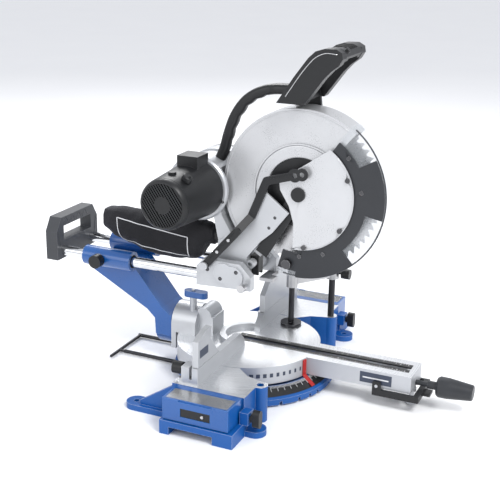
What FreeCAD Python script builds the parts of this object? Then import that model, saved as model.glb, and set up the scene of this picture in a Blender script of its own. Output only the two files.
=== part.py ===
import FreeCAD, Part
import math
import os

V = FreeCAD.Vector
X_AXIS = V(1, 0, 0)
Y_AXIS = V(0, 1, 0)
Z_AXIS = V(0, 0, 1)

# Sliding compound mitre saw for a 305 mm blade.
# +X is the operator's right, +Y is away from the operator, +Z is up. The origin is on the
# bench, under the centre of the turntable. All sizes are in millimetres.

# ---- driving dimensions ---------------------------------------------------------------
# table and base
TABLE_Z = 72.0          # height of the work surface
TURN_R = 148.0          # turntable radius
TURN_Z0 = 36.0          # lower edge of the turntable skirt
TURN_GAP = 1.5          # gap round the turntable
PLATE_T = 10.0          # thickness of the table plates
WALL = 8.0              # casting wall of the base
BASE_X = 256.0          # half length of the fixed table
BASE_Y0, BASE_Y1 = -106.0, 42.0
TRAY_Z0, TRAY_Z1 = 14.0, 22.0
RING_R = 178.0          # outer radius of the detent ring
RING_HALF = 62.0        # half of the ring's arc, degrees
SCALE_HALF = 56.0
SCALE_T = 1.2
BOLT_X, BOLT_Y = 245.0, 125.0   # half spacings of the four bench bolt holes
BOLT_R = 5.5
EAR_R, EAR_T = 20.0, 12.0
PIVOT_BOLT_R = 8.0
FIT = 0.05              # radial clearance of pins and screws that turn
GAP = 0.5               # clearance of sliding blocks

# wings
WING_GAP = 2.0
WING_X1 = 316.0         # outer face of a closed wing
WING_Y0, WING_Y1 = -102.0, 30.0
WING_Z0 = 30.0
WING_WALL = 5.0
ROD_R = 6.0
ROD_Z = 40.0
ROD_YS = (-60.0, 20.0)
ROD_X0 = 170.0
LEG_X1 = 320.0

# fences
FENCE_Y0 = -8.0         # front face of the fence
FENCE_T = 12.0
FENCE_X0, FENCE_X1 = 38.0, 250.0
LOWER_FENCE_H = 34.0
UPPER_FENCE_TOP = 183.0
UPPER_FENCE_X1 = 247.0
BRIDGE_R0, BRIDGE_R1 = 48.0, 60.0
TONGUE_T = 5.0
FENCE_KNOB_X, FENCE_KNOB_Z = 236.0, 96.0

# clamp
POST_X, POST_Y = 192.0, -110.0
POST_R = 7.0
POST_TOP = 186.0
BOSS_R = 14.0
SPINDLE_X, SPINDLE_Y = 108.0, -50.0
SPINDLE_R = 6.0
CLAMP_Z0, CLAMP_Z1 = 164.0, 182.0
CLAMP_FOOT_R = 22.0

# turntable arm
ARM_HALF = 38.0
ARM_Y0 = -356.0
KERF_Y0, KERF_Y1 = -345.0, 24.0
KERF_HALF, SLOT_HALF = 19.0, 6.0
KERF_T = 3.0
LOCK_Z = 47.0           # height of the mitre lock rod
LOCK_R = 5.0
GRIP_Y0, GRIP_Y1 = -468.0, -394.0
GRIP_R = 20.5

# bevel joint and rear arm
HUB_R = 39.0
HUB_Y0, HUB_Y1 = 160.0, 198.0
BEVEL_PIN_R = 12.0
TRUNNION_Y0, TRUNNION_Y1 = 104.0, 159.0
TRUNNION_HALF = 42.0
RAIL_X, RAIL_Z = 54.3, 217.0
RAIL_R = 11.0
RAIL_Y0, RAIL_Y1 = 60.0, 430.0
SLEEVE_R = 20.5
SLEEVE_Y0, SLEEVE_Y1 = 240.0, 352.0
BUSH_T, BUSH_L = 3.0, 25.0

# carriage and head pivot
PIVOT_Y, PIVOT_Z = 9.0, 228.0
PIVOT_R = 9.0
CHEEK_X0, CHEEK_X1 = 56.0, 74.0
LINK_Y, LINK_Z = 62.0, 246.0
LINK_X = -80.0          # inner face of the guard link at its pivot
LINK_T = 4.0
LINK_PIN_R = 4.0

# blade and guards
ARBOR_Y, ARBOR_Z = -114.0, 402.0
BLADE_R, BLADE_T = 152.5, 2.8
BLADE_TEETH = 60
BORE_R = 15.0
UPPER_GUARD_R = 162.0
UPPER_GUARD_HALF = 27.0
GUARD_WALL = 3.0
GUARD_OPEN_R = 69.0
LOWER_GUARD_R = 168.0
LOWER_GUARD_X = 31.5
GUARD_START, GUARD_END = 125.0, 285.0
CHEEK_R = 110.0
BAND_T = 3.5
GUARD_HUB_R = 10.0

# motor and belt drive
MOTOR_Y, MOTOR_Z = 97.0, 390.0
MOTOR_X0 = -190.0
MOTOR_CAP_X = -176.0
MOTOR_FLANGE_X = -38.0
MOTOR_R0, MOTOR_R1 = 50.0, 58.0
MOTOR_FLANGE_R = 64.0
HOUSING_X0, HOUSING_X1 = 34.0, 80.0
HOUSING_WALL = 4.0
HOUSING_R0, HOUSING_R1 = 44.0, 64.0
PULLEY_X0, PULLEY_X1 = 50.0, 64.0
DRIVEN_R, DRIVE_R = 30.0, 24.0
BELT_T = 4.0

# handles, relative to the base of the operating handle
HANDLE_Y, HANDLE_Z = -88.0, 579.0
HANDLE_TOP_Y, HANDLE_TOP_Z = -151.0, 657.0
HANDLE_HALF = 58.0
CARRY_X, CARRY_R = 8.0, 11.0

# bag and rear grip
BAG_X0, BAG_X1 = -46.0, 14.0
REAR_GRIP_HALF = 78.0


# ---- small helpers ----------------------------------------------------------------------
def box(x0, x1, y0, y1, z0, z1):
    return Part.makeBox(x1 - x0, y1 - y0, z1 - z0, V(x0, y0, z0))


def cyl_x(x0, x1, y, z, r):
    return Part.makeCylinder(r, x1 - x0, V(x0, y, z), X_AXIS)


def cyl_y(x, z, y0, y1, r):
    return Part.makeCylinder(r, y1 - y0, V(x, y0, z), Y_AXIS)


def cyl_z(x, y, z0, z1, r):
    return Part.makeCylinder(r, z1 - z0, V(x, y, z0), Z_AXIS)


def cone_x(x0, x1, y, z, r0, r1):
    return Part.makeCone(r0, r1, x1 - x0, V(x0, y, z), X_AXIS)


def face_of(points):
    return Part.Face(Part.makePolygon(points + [points[0]]))


def prism_x(outline, x0, x1):
    return face_of([V(x0, y, z) for y, z in outline]).extrude(V(x1 - x0, 0, 0))


def prism_y(outline, y0, y1):
    return face_of([V(x, y0, z) for x, z in outline]).extrude(V(0, y1 - y0, 0))


def prism_z(outline, z0, z1):
    return face_of([V(x, y, z0) for x, y in outline]).extrude(V(0, 0, z1 - z0))


def fuse(*shapes):
    return shapes[0].multiFuse(list(shapes[1:])).removeSplitter()


def cut(shape, *tools):
    return shape.cut(list(tools)).removeSplitter()


def flip(shape):
    """The mirror image across the blade plane."""
    return shape.mirror(V(0, 0, 0), X_AXIS)


def polar(cy, cz, r, degrees):
    a = math.radians(degrees)
    return cy + r * math.cos(a), cz + r * math.sin(a)


def sector_x(r0, r1, a0, a1, x0, x1, cy=ARBOR_Y, cz=ARBOR_Z):
    """Part of a ring about an axis along X, from angle a0 to a1 (degrees from +Y to +Z)."""
    def at(r, a):
        y, z = polar(cy, cz, r, a)
        return V(x0, y, z)
    mid = (a0 + a1) / 2
    edges = [
        Part.Arc(at(r1, a0), at(r1, mid), at(r1, a1)).toShape(),
        Part.makeLine(at(r1, a1), at(r0, a1)),
        Part.Arc(at(r0, a1), at(r0, mid), at(r0, a0)).toShape(),
        Part.makeLine(at(r0, a0), at(r1, a0)),
    ]
    return Part.Face(Part.Wire(edges)).extrude(V(x1 - x0, 0, 0))


def ring_profile(outline, half):
    """Turn an outline of (radius, height) round Z, centred on the front of the table."""
    start = face_of([V(r, 0, z) for r, z in outline])
    start.rotate(V(0, 0, 0), Z_AXIS, -90 - half)
    return start.revolve(V(0, 0, 0), Z_AXIS, 2 * half)


def rod(points, r):
    """A round bar through the points, with ball corners."""
    pieces = [Part.makeSphere(r, p) for p in points[1:-1]]
    for a, b in zip(points, points[1:]):
        pieces.append(Part.makeCylinder(r, (b - a).Length, a, b - a))
    return fuse(*pieces)


def along(origin, direction, normal, outline, x0, x1):
    """A prism along X whose outline is given as (along direction, along normal)."""
    pts = [origin + direction * u + normal * w for u, w in outline]
    return face_of([V(x0, p.y, p.z) for p in pts]).extrude(V(x1 - x0, 0, 0))


NODES = {}


def node(name, shape):
    NODES[name] = shape


# ---- base -------------------------------------------------------------------------------
SIDE_OUTLINE = [(90, BASE_Y1), (BASE_X, BASE_Y1), (BASE_X, BASE_Y0), (178, BASE_Y0),
                (168, -72), (144, -46), (90, -20)]
RING_TOP, RING_LIP = 33.0, 18.0
RING_IN = TURN_R + 2 * TURN_GAP
RING_LIP_R = RING_R - 4
DETENTS = (0, 15, 22.5, 31.6, 45, -15, -22.5, -31.6, -45)


def base_side():
    """The right-hand half of the base casting."""
    solid = prism_z(SIDE_OUTLINE, 0, TABLE_Z)
    hollow = fuse(box(186, BASE_X - WALL, BASE_Y0 + WALL, BASE_Y1 - WALL, -1, TABLE_Z - PLATE_T),
                  box(166, BASE_X - WALL, ROD_YS[0] - 8, BASE_Y1 - WALL, -1, TABLE_Z - PLATE_T))
    ear_front = fuse(cyl_z(BOLT_X, -BOLT_Y, 0, EAR_T, EAR_R),
                     box(BOLT_X - EAR_R, BOLT_X + EAR_R, -BOLT_Y, BASE_Y0 + WALL, 0, EAR_T))
    ear_rear = fuse(cyl_z(BOLT_X, BOLT_Y, 0, EAR_T, EAR_R),
                    box(BOLT_X - EAR_R, BOLT_X + EAR_R, BASE_Y1 - WALL, BOLT_Y, 0, EAR_T))
    rib = prism_x([(BASE_Y1 - 1, 66), (BASE_Y1 - 1, EAR_T - 1), (112, EAR_T - 1), (112, 20)],
                  BASE_X - WALL, BASE_X)
    legs = [box(BASE_X - 1, LEG_X1, -112, -72, 0, WING_Z0 - 2),
            box(BASE_X - 1, LEG_X1, 16, 35, 0, WING_Z0 - 2),
            box(LEG_X1 - WALL, LEG_X1, -112, 35, 16, WING_Z0 - 2)]
    knob_boss = box(250, 274, -122, BASE_Y0 + 1, 28, 52)
    post_boss = fuse(cyl_z(POST_X, POST_Y, 0, TABLE_Z, BOSS_R),
                     box(POST_X - BOSS_R, POST_X + BOSS_R, POST_Y, BASE_Y0 + WALL, 0, TABLE_Z))
    guides = [box(225, BASE_X - 1, y - 10, y + 10, ROD_Z - 11, ROD_Z + 11) for y in ROD_YS]
    holes = [cyl_x(200, 260, y, ROD_Z, ROD_R + FIT) for y in ROD_YS]
    holes.append(cyl_z(BOLT_X, BOLT_Y, -1, EAR_T + 60, BOLT_R))
    holes.append(cyl_z(BOLT_X, -BOLT_Y, -1, EAR_T + 12, BOLT_R))
    holes.append(cyl_y(WING_KNOB_X, WING_KNOB_Z, -123, -107, KNOB_SCREW_R + FIT))
    holes.append(cyl_z(POST_X, POST_Y, 38, TABLE_Z + 1, POST_R + FIT))
    side = fuse(cut(solid, hollow), ear_front, ear_rear, rib, *legs)
    side = fuse(side, knob_boss, post_boss, *guides)
    return cut(side, *holes)


WING_KNOB_X, WING_KNOB_Z = 263.0, 40.0
KNOB_SCREW_R = 4.0
SUPPORT_X, SUPPORT_Z, SUPPORT_R = 45.0, 6.0, 4.0
SUPPORT_LUG_Y0, SUPPORT_LUG_Y1 = 108.0, 144.0
HUB_BOSS_R = 28.0


def base_casting():
    right = base_side()
    ring = ring_profile([(RING_IN, TRAY_Z0), (RING_IN, 4), (RING_R, 4), (RING_R, 16),
                         (RING_LIP_R, RING_LIP), (RING_IN, RING_TOP)], RING_HALF)
    tray = fuse(cyl_z(0, 0, TRAY_Z0, TRAY_Z1, RING_IN + 1),
                cyl_z(0, 0, 4, TURN_Z0 - 2.2, HUB_BOSS_R))
    lugs = [box(s * SUPPORT_X - 9, s * SUPPORT_X + 9, SUPPORT_LUG_Y0, SUPPORT_LUG_Y1, 0, TRAY_Z0 + 1)
            for s in (-1, 1)]
    body = fuse(right, flip(right), ring, tray, *lugs)
    pocket = cyl_z(0, 0, TURN_Z0 - 2, TABLE_Z + 1, TURN_R + TURN_GAP)
    tools = [pocket]
    tools += [cyl_y(s * SUPPORT_X, SUPPORT_Z, SUPPORT_LUG_Y0 - 1, SUPPORT_LUG_Y1 + 1, SUPPORT_R + FIT)
              for s in (-1, 1)]
    for angle in DETENTS:
        notch = box(-3, 3, -RING_R - 1, -RING_R + 7, 3, 11)
        notch.rotate(V(0, 0, 0), Z_AXIS, angle)
        tools.append(notch)
    pivot = fuse(cyl_z(0, 0, TURN_Z0 - 3, TURN_Z0 + 15, PIVOT_BOLT_R),
                 cyl_z(0, 0, TURN_Z0 + 14 + GAP, TURN_Z0 + 22, 13))
    return fuse(cut(body, *tools), pivot)


def mitre_scale():
    """The curved scale plate that lies on the slope of the detent ring."""
    run = V(RING_LIP_R - RING_IN, 0, RING_LIP - RING_TOP)
    run.normalize()
    up = V(-run.z, 0, run.x)
    top = V(RING_IN, 0, RING_TOP)
    low, high = 2.0, 25.0
    corners = [top + run * low, top + run * high,
               top + run * high + up * SCALE_T, top + run * low + up * SCALE_T]
    return ring_profile([(p.x, p.z) for p in corners], SCALE_HALF)


def rear_support():
    """The wire stand at the back: two rods in the base joined by a cross rod."""
    y_end = 284.0
    cross_r = SUPPORT_R - 0.6
    near = cyl_y(-SUPPORT_X, SUPPORT_Z, 96, y_end - 12, SUPPORT_R)
    far = cyl_y(SUPPORT_X, SUPPORT_Z, 96, y_end + SUPPORT_R, SUPPORT_R)
    cross = cyl_x(-80, SUPPORT_X, y_end, SUPPORT_Z, cross_r)
    tie = cyl_y(-SUPPORT_X, SUPPORT_Z, y_end - 13, y_end, cross_r - 0.6)
    return fuse(near, far, cross, tie)


node("base_casting", base_casting())
node("mitre_scale", mitre_scale())
node("rear_support", rear_support())


# ---- wings --------------------------------------------------------------------------------
def wing():
    x0 = BASE_X + WING_GAP
    outer = box(x0, WING_X1, WING_Y0, WING_Y1, WING_Z0, TABLE_Z)
    inner = box(x0 + WING_WALL, WING_X1 - WING_WALL, WING_Y0 + WING_WALL, WING_Y1 - WING_WALL,
                WING_Z0 - 1, TABLE_Z - 6)
    label = box(WING_X1 - 2, WING_X1 + 1, -66, -6, 40, 57)
    inset = box(x0 + 14, WING_X1 - 4, WING_Y0 + 4, WING_Y1 - 4, TABLE_Z - 1, TABLE_Z + 1)
    insert = box(x0 + 14, WING_X1 - 4, WING_Y0 + 4, WING_Y1 - 4, TABLE_Z - 2, TABLE_Z)
    notch = box(WING_X1 - 3, WING_X1 + 1, -70, -2, TABLE_Z - 3, TABLE_Z + 1)
    body = cut(outer, inner, label, inset, notch)
    bodies = [body, insert]
    bodies += [box(x0, x0 + 20, y - 9, y + 9, ROD_Z - 9, ROD_Z + 9) for y in ROD_YS]
    rods = [cyl_x(ROD_X0, WING_X1 - WING_WALL, y, ROD_Z, ROD_R) for y in ROD_YS]
    return fuse(*bodies, *rods)


def oval_knob():
    """A flat wing knob on a screw, with its axis along Y."""
    blade = fuse(cyl_y(WING_KNOB_X, WING_KNOB_Z - 9, -142, -128, 8),
                 cyl_y(WING_KNOB_X, WING_KNOB_Z + 9, -142, -128, 8),
                 box(WING_KNOB_X - 8, WING_KNOB_X + 8, -142, -128, WING_KNOB_Z - 9, WING_KNOB_Z + 9))
    collar = cyl_y(WING_KNOB_X, WING_KNOB_Z, -129, -124, 8)
    screw = cyl_y(WING_KNOB_X, WING_KNOB_Z, -125, -108, KNOB_SCREW_R)
    return fuse(blade, collar, screw)


node("right_wing", wing())
node("right_wing_knob", oval_knob())
node("left_wing", flip(wing()))
node("left_wing_knob", flip(oval_knob()))

# ---- fences -------------------------------------------------------------------------------
FENCE_Y1 = FENCE_Y0 + FENCE_T
LOWER_TOP = TABLE_Z + LOWER_FENCE_H
TONGUE_Y1 = FENCE_Y1 + GAP + TONGUE_T
BRACKET_Y0, BRACKET_Y1 = TONGUE_Y1 + GAP, 26.0
FENCE_SCREW_R = 3.0
OUTER_DROP = 25.0       # how far the outer top corner is cut down


def lower_fence_side():
    plate = prism_y([(FENCE_X0, TABLE_Z), (FENCE_X1, TABLE_Z), (FENCE_X1, LOWER_TOP),
                     (FENCE_X0 + 22, LOWER_TOP), (FENCE_X0, TABLE_Z + 14)], FENCE_Y0, FENCE_Y1)
    foot = box(118, FENCE_X1, FENCE_Y1 - 1, BRACKET_Y1 + 6, TABLE_Z, TABLE_Z + PLATE_T)
    bracket = box(222, FENCE_X1, BRACKET_Y0, BRACKET_Y1, TABLE_Z, LOWER_TOP)
    screw_hole = cyl_y(FENCE_KNOB_X, FENCE_KNOB_Z, BRACKET_Y0 - 1, BRACKET_Y1 + 1, FENCE_SCREW_R + FIT)
    seat = cyl_z(140, 20, TABLE_Z + 6, TABLE_Z + 11, 7)
    seat_two = cyl_z(200, 20, TABLE_Z + 6, TABLE_Z + 11, 7)
    return cut(fuse(plate, foot, bracket), screw_hole, seat, seat_two)


def lower_fence():
    side = lower_fence_side()
    band = cut(cyl_z(0, 0, TABLE_Z, TABLE_Z + 12, BRIDGE_R1), cyl_z(0, 0, 0, 200, BRIDGE_R0),
               box(-100, 100, -100, 0, 0, 200))
    return fuse(side, flip(side), band)


def upper_fence(inner_edge, outer_drop):
    """A sliding fence plate; inner_edge runs from the bottom up to the top edge."""
    z0 = LOWER_TOP + GAP
    outline = [(UPPER_FENCE_X1, z0), (UPPER_FENCE_X1, UPPER_FENCE_TOP - outer_drop)]
    plate = prism_y([(inner_edge[0], z0)] + outline + inner_edge[1], FENCE_Y0, FENCE_Y1)
    tongue = box(162, 240, FENCE_Y1 + GAP, TONGUE_Y1, TABLE_Z + PLATE_T + 2, z0 + 14)
    tie = box(162, 240, FENCE_Y1 - 1, FENCE_Y1 + 1, z0, z0 + 14)
    return fuse(plate, tongue, tie)


def fence_knob():
    screw = cyl_y(FENCE_KNOB_X, FENCE_KNOB_Z, BRACKET_Y0, BRACKET_Y1 + 6, FENCE_SCREW_R)
    head = cyl_y(FENCE_KNOB_X, FENCE_KNOB_Z, BRACKET_Y1 + 3, BRACKET_Y1 + 22, 12)
    return fuse(screw, head)


node("lower_fence", lower_fence())
# the left plate is cut away above its inner corner, clear of the head when it tilts that way
RIGHT_EDGE = (62, [(192, UPPER_FENCE_TOP - 8), (140, UPPER_FENCE_TOP), (94, UPPER_FENCE_TOP - 11),
                   (62, UPPER_FENCE_TOP - 39)])
LEFT_EDGE = (158, [(210, UPPER_FENCE_TOP - 11), (192, UPPER_FENCE_TOP - 11), (196, UPPER_FENCE_TOP - 34)])
node("right_upper_fence", upper_fence(RIGHT_EDGE, OUTER_DROP))
node("left_upper_fence", flip(upper_fence(LEFT_EDGE, OUTER_DROP)))
node("right_fence_knob", fence_knob())
node("left_fence_knob", flip(fence_knob()))

# ---- hold-down clamp ------------------------------------------------------------------------
CLAMP_MID = (CLAMP_Z0 + CLAMP_Z1) / 2
COLLAR_R = 15.0


def clamp_arm():
    reach = V(SPINDLE_X - POST_X, SPINDLE_Y - POST_Y, 0)
    bar = box(0, reach.Length, -8, 8, CLAMP_Z0, CLAMP_Z1)
    bar.rotate(V(0, 0, 0), Z_AXIS, math.degrees(math.atan2(reach.y, reach.x)))
    bar.translate(V(POST_X, POST_Y, 0))
    body = fuse(bar, cyl_z(POST_X, POST_Y, CLAMP_Z0 - 4, CLAMP_Z1, COLLAR_R),
                cyl_z(SPINDLE_X, SPINDLE_Y, CLAMP_Z0 - 6, CLAMP_Z1 + 4, 12))
    return cut(body, cyl_z(POST_X, POST_Y, 0, 400, POST_R + FIT),
               cyl_z(SPINDLE_X, SPINDLE_Y, 0, 400, SPINDLE_R + FIT),
               cyl_y(POST_X, CLAMP_MID, POST_Y - 30, POST_Y - 9, FENCE_SCREW_R + FIT))


def clamp_spindle():
    return fuse(cyl_z(SPINDLE_X, SPINDLE_Y, TABLE_Z + 4, 190, SPINDLE_R),
                cyl_z(SPINDLE_X, SPINDLE_Y, TABLE_Z + 1.5, TABLE_Z + 6, CLAMP_FOOT_R),
                cyl_z(SPINDLE_X, SPINDLE_Y, CLAMP_Z1 + 4 + GAP, 195, 10))


def clamp_knob():
    return fuse(cyl_y(POST_X, CLAMP_MID, POST_Y - 26, POST_Y - 9.5, FENCE_SCREW_R),
                cyl_y(POST_X, CLAMP_MID, POST_Y - 40, POST_Y - 22, 11))


node("clamp_post", cyl_z(POST_X, POST_Y, 40, POST_TOP, POST_R))
node("clamp_arm", clamp_arm())
node("clamp_spindle", clamp_spindle())
node("clamp_knob", clamp_knob())

# ---- turntable ------------------------------------------------------------------------------
ARM_SIDE = [(-100, TURN_Z0), (-180, TURN_Z0), (ARM_Y0, LOCK_Z - 9), (ARM_Y0, TABLE_Z), (-100, TABLE_Z)]
ARM_CORE = [(-90, TURN_Z0 - 1), (-180, TURN_Z0 - 1), (ARM_Y0 + 12, LOCK_Z - 10),
            (ARM_Y0 + 12, TABLE_Z - 8), (-90, TABLE_Z - 8)]


def turntable():
    disc = cyl_z(0, 0, TURN_Z0, TABLE_Z, TURN_R)
    under = cyl_z(0, 0, TURN_Z0 - 1, TABLE_Z - PLATE_T, TURN_R - WALL)
    hub = cyl_z(0, 0, TURN_Z0 - 1.7, TURN_Z0 + 14, HUB_BOSS_R)
    ribs = [box(-70, 70, y - 3, y + 3, TURN_Z0 + 4, TABLE_Z - PLATE_T) for y in (50, 90)]
    arm = prism_x(ARM_SIDE, -ARM_HALF, ARM_HALF)
    core = prism_x(ARM_CORE, -ARM_HALF + 6, ARM_HALF - 6)
    pocket = cyl_z(0, 0, TURN_Z0 + 14, TABLE_Z - PLATE_T, 40)
    spokes = [box(HUB_BOSS_R - 2, TURN_R - WALL + 2, -4, 4, TURN_Z0 + 2, TABLE_Z - PLATE_T),
              box(-TURN_R + WALL - 2, -HUB_BOSS_R + 2, -4, 4, TURN_Z0 + 2, TABLE_Z - PLATE_T)]
    back_spoke = box(-4, 4, HUB_BOSS_R - 2, TURN_R - WALL + 2, TURN_Z0 + 2, TABLE_Z - PLATE_T)
    lever_pin = cyl_x(-LEVER_X1 - 1, LEVER_X1 + 1, LEVER_Y, LEVER_Z, LEVER_PIN_R)
    body = fuse(cut(fuse(disc, arm), under, core), hub, back_spoke, lever_pin, arm_foot(), *ribs, *spokes)
    return cut(body, pocket,
               cyl_z(0, 0, 0, TURN_Z0 + 20, PIVOT_BOLT_R + FIT),
               box(-KERF_HALF, KERF_HALF, KERF_Y0, KERF_Y1, TABLE_Z - KERF_T, TABLE_Z + 1),
               box(-12, 12, KERF_Y0 + 8, KERF_Y1 - 8, TABLE_Z - PLATE_T - 1, TABLE_Z),
               cyl_y(0, LOCK_Z, ARM_Y0 - 1, ARM_Y0 + 20, LOCK_R + FIT),
               box(-26, 26, TURN_R - 10, TURN_R + 1, TURN_Z0 - 1, TURN_Z0 + 2))


def kerf_plates():
    half = box(SLOT_HALF, KERF_HALF - 0.3, KERF_Y0 + 0.5, KERF_Y1 - 0.5, TABLE_Z - KERF_T, TABLE_Z)
    holes = [cyl_z(12.5, y, 0, 200, 2.2) for y in (-320, -200, -80, 10)]
    half = cut(half, *holes)
    return Part.makeCompound([half, flip(half)])


def mitre_pointer():
    outline = [(148.3, 70), (150.3, 70), (150.3, 37.5), (173, 23), (173, 21), (149.8, 36), (148.3, 36.5)]
    strip = face_of([V(-5, -r, z) for r, z in outline]).extrude(V(10, 0, 0))
    strip.rotate(V(0, 0, 0), Z_AXIS, -18)
    return strip


def bevel_trunnion():
    """The casting at the back of the turntable that carries the tilting arm."""
    block = fuse(box(-TRUNNION_HALF, TRUNNION_HALF, TRUNNION_Y0, TRUNNION_Y1, TABLE_Z + 0.01, TABLE_Z + 14),
                 cyl_y(0, TABLE_Z + 14, TRUNNION_Y0, TRUNNION_Y1, TRUNNION_HALF))
    block = cut(block, box(-60, 60, 90, 170, 0, TABLE_Z))
    lower = box(-TRUNNION_HALF, TRUNNION_HALF, TURN_R + 0.5, TRUNNION_Y1, TURN_Z0, TABLE_Z + 2)
    hump = fuse(box(-26, 26, 70, TRUNNION_Y0 + 1, TABLE_Z, 112), cyl_x(-26, 26, 92, 112, 18))
    hump = cut(hump, box(-60, 60, TRUNNION_Y0 + 1, 200, 0, 300))
    pin = cyl_y(0, TABLE_Z, TURN_R + 1, HUB_Y1 + 4, BEVEL_PIN_R)
    return fuse(block, lower, hump, pin)


def lock_rod():
    return fuse(cyl_y(0, LOCK_Z, GRIP_Y0 + 20, ARM_Y0 + 16, LOCK_R),
                cyl_y(0, LOCK_Z, GRIP_Y1 - 4, GRIP_Y1 + 14, 8))


def lock_grip():
    """Tapered grip of the mitre lock, turned about Y."""
    outline = [(LOCK_R, GRIP_Y1 - 4.5), (GRIP_R - 3, GRIP_Y1 - 4.5), (GRIP_R, GRIP_Y1 - 9),
               (GRIP_R, GRIP_Y1 - 26), (GRIP_R - 5, GRIP_Y0 + 2), (GRIP_R - 7, GRIP_Y0), (LOCK_R, GRIP_Y0)]
    face = face_of([V(r, y, LOCK_Z) for r, y in outline])
    body = face.revolve(V(0, 0, LOCK_Z), Y_AXIS, 360)
    return fuse(body, cyl_y(0, LOCK_Z, GRIP_Y0, GRIP_Y0 + 21, LOCK_R), lock_rod())


LEVER_Y, LEVER_Z, LEVER_PIN_R = -290.0, 44.0, 3.0
LEVER_Z0, LEVER_Z1 = 24.0, 37.0
LEVER_X0, LEVER_X1 = ARM_HALF + 1.5, 46.0


def detent_lever():
    """U-shaped lever round the front of the arm that lifts the detent pin."""
    outer = box(-LEVER_X1, LEVER_X1, -374, LEVER_Y, LEVER_Z0, LEVER_Z1)
    inner = box(-LEVER_X0, LEVER_X0, -363, LEVER_Y + 1, LEVER_Z0 - 1, LEVER_Z1 + 1)
    tab = box(-12, 12, -388, -373, LEVER_Z0 + 2, LEVER_Z0 + 8)
    cross = box(-LEVER_X1, LEVER_X1, LEVER_Y - 4, LEVER_Y + 6, LEVER_Z0, LEVER_Z0 + 9)
    ears = [box(min(s * LEVER_X0, s * LEVER_X1), max(s * LEVER_X0, s * LEVER_X1),
                LEVER_Y - 8, LEVER_Y + 8, LEVER_Z0, LEVER_Z + 8) for s in (-1, 1)]
    return cut(fuse(cut(outer, inner), tab, cross, *ears),
               cyl_x(-60, 60, LEVER_Y, LEVER_Z, LEVER_PIN_R + FIT))


def arm_foot():
    y = ARM_Y0 + 7
    stem = cyl_z(0, y, 8, LOCK_Z - 7, 5)
    pad = cyl_z(0, y, 2, 12, 11)
    nut = cyl_z(0, y, LOCK_Z - 19, LOCK_Z - 12, 9)
    return fuse(stem, pad, nut)


node("turntable", turntable())
node("kerf_plates", kerf_plates())
node("mitre_pointer", mitre_pointer())
node("mitre_lock_grip", lock_grip())
node("detent_lever", detent_lever())


# ---- bevel joint ----------------------------------------------------------------------------
LEVER_STUD_X, LEVER_STUD_Y = -20.0, 118.0
TRUNNION_TOP = TABLE_Z + 14 + TRUNNION_HALF
LEVER_Z = TRUNNION_TOP + 22
WEB_HALF = 40.0


def bevel_stud():
    """Threaded stud on top of the trunnion, with a collar under the lever."""
    drop = TRUNNION_HALF - math.sqrt(TRUNNION_HALF ** 2 - (abs(LEVER_STUD_X) + 7) ** 2)
    collar = cyl_z(LEVER_STUD_X, LEVER_STUD_Y, TRUNNION_TOP - drop - 6, LEVER_Z - 1, 7)
    stud = cyl_z(LEVER_STUD_X, LEVER_STUD_Y, LEVER_Z - 2, LEVER_Z + 16, 4)
    return fuse(collar, stud)


def bevel_lock_lever():
    """Capsule lever that turns on the stud."""
    pad = box(LEVER_STUD_X - 10, LEVER_STUD_X + 10, LEVER_STUD_Y - 22, LEVER_STUD_Y + 10,
              LEVER_Z, LEVER_Z + 13)
    ends = [cyl_z(LEVER_STUD_X, y, LEVER_Z, LEVER_Z + 13, 10)
            for y in (LEVER_STUD_Y - 22, LEVER_STUD_Y + 10)]
    return cut(fuse(pad, *ends), cyl_z(LEVER_STUD_X, LEVER_STUD_Y, 0, 400, 4 + FIT))


def bevel_arm():
    """The rear arm: hub on the bevel pin, hollow web, and two sleeves for the rails."""
    hub = cyl_y(0, TABLE_Z, HUB_Y0, HUB_Y1, HUB_R)
    web = prism_x([(160, 60), (197, 60), (199, 95), (217, 112), (345, 180), (345, 204),
                   (250, 204), (182, 120), (160, 103)], -WEB_HALF, WEB_HALF)
    core = prism_x([(205, 108), (346, 183), (346, 198), (256, 198), (194, 122)],
                   -WEB_HALF + 6, WEB_HALF - 6)
    sleeves = [cyl_y(s * RAIL_X, RAIL_Z, SLEEVE_Y0, SLEEVE_Y1, SLEEVE_R) for s in (-1, 1)]
    body = fuse(cut(web, core), hub, *sleeves)
    tools = [cyl_y(0, TABLE_Z, HUB_Y0 - 1, HUB_Y1 + 1, BEVEL_PIN_R + FIT)]
    for s in (-1, 1):
        tools.append(cyl_y(s * RAIL_X, RAIL_Z, SLEEVE_Y0 - 1, SLEEVE_Y1 + 1, RAIL_R + 0.8))
        for y in (SLEEVE_Y0 - 1, SLEEVE_Y1 - BUSH_L):
            tools.append(cyl_y(s * RAIL_X, RAIL_Z, y, y + BUSH_L + 1, RAIL_R + BUSH_T))
    tools.append(cyl_x(-90, -RAIL_X, RAIL_KNOB_Y, RAIL_Z, 4 + FIT))
    return cut(body, *tools)


RAIL_KNOB_Y = 310.0


def rail_bushes():
    rings = []
    for s in (-1, 1):
        for y in (SLEEVE_Y0, SLEEVE_Y1 - BUSH_L):
            ring = cyl_y(s * RAIL_X, RAIL_Z, y, y + BUSH_L, RAIL_R + BUSH_T)
            rings.append(ring.cut(cyl_y(s * RAIL_X, RAIL_Z, y - 1, y + BUSH_L + 1, RAIL_R + FIT)))
    return Part.makeCompound(rings)


def rail_lock_knob():
    tip = -RAIL_X - RAIL_R - FIT
    return fuse(cyl_x(-RAIL_X - SLEEVE_R - 6, tip, RAIL_KNOB_Y, RAIL_Z, 4),
                cyl_x(-RAIL_X - SLEEVE_R - 19, -RAIL_X - SLEEVE_R - 2, RAIL_KNOB_Y, RAIL_Z, 14))


node("bevel_trunnion", fuse(bevel_trunnion(), bevel_stud()))
node("bevel_lock_lever", bevel_lock_lever())
node("bevel_arm", bevel_arm())
node("rail_bushes", rail_bushes())
node("rail_lock_knob", rail_lock_knob())

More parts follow.
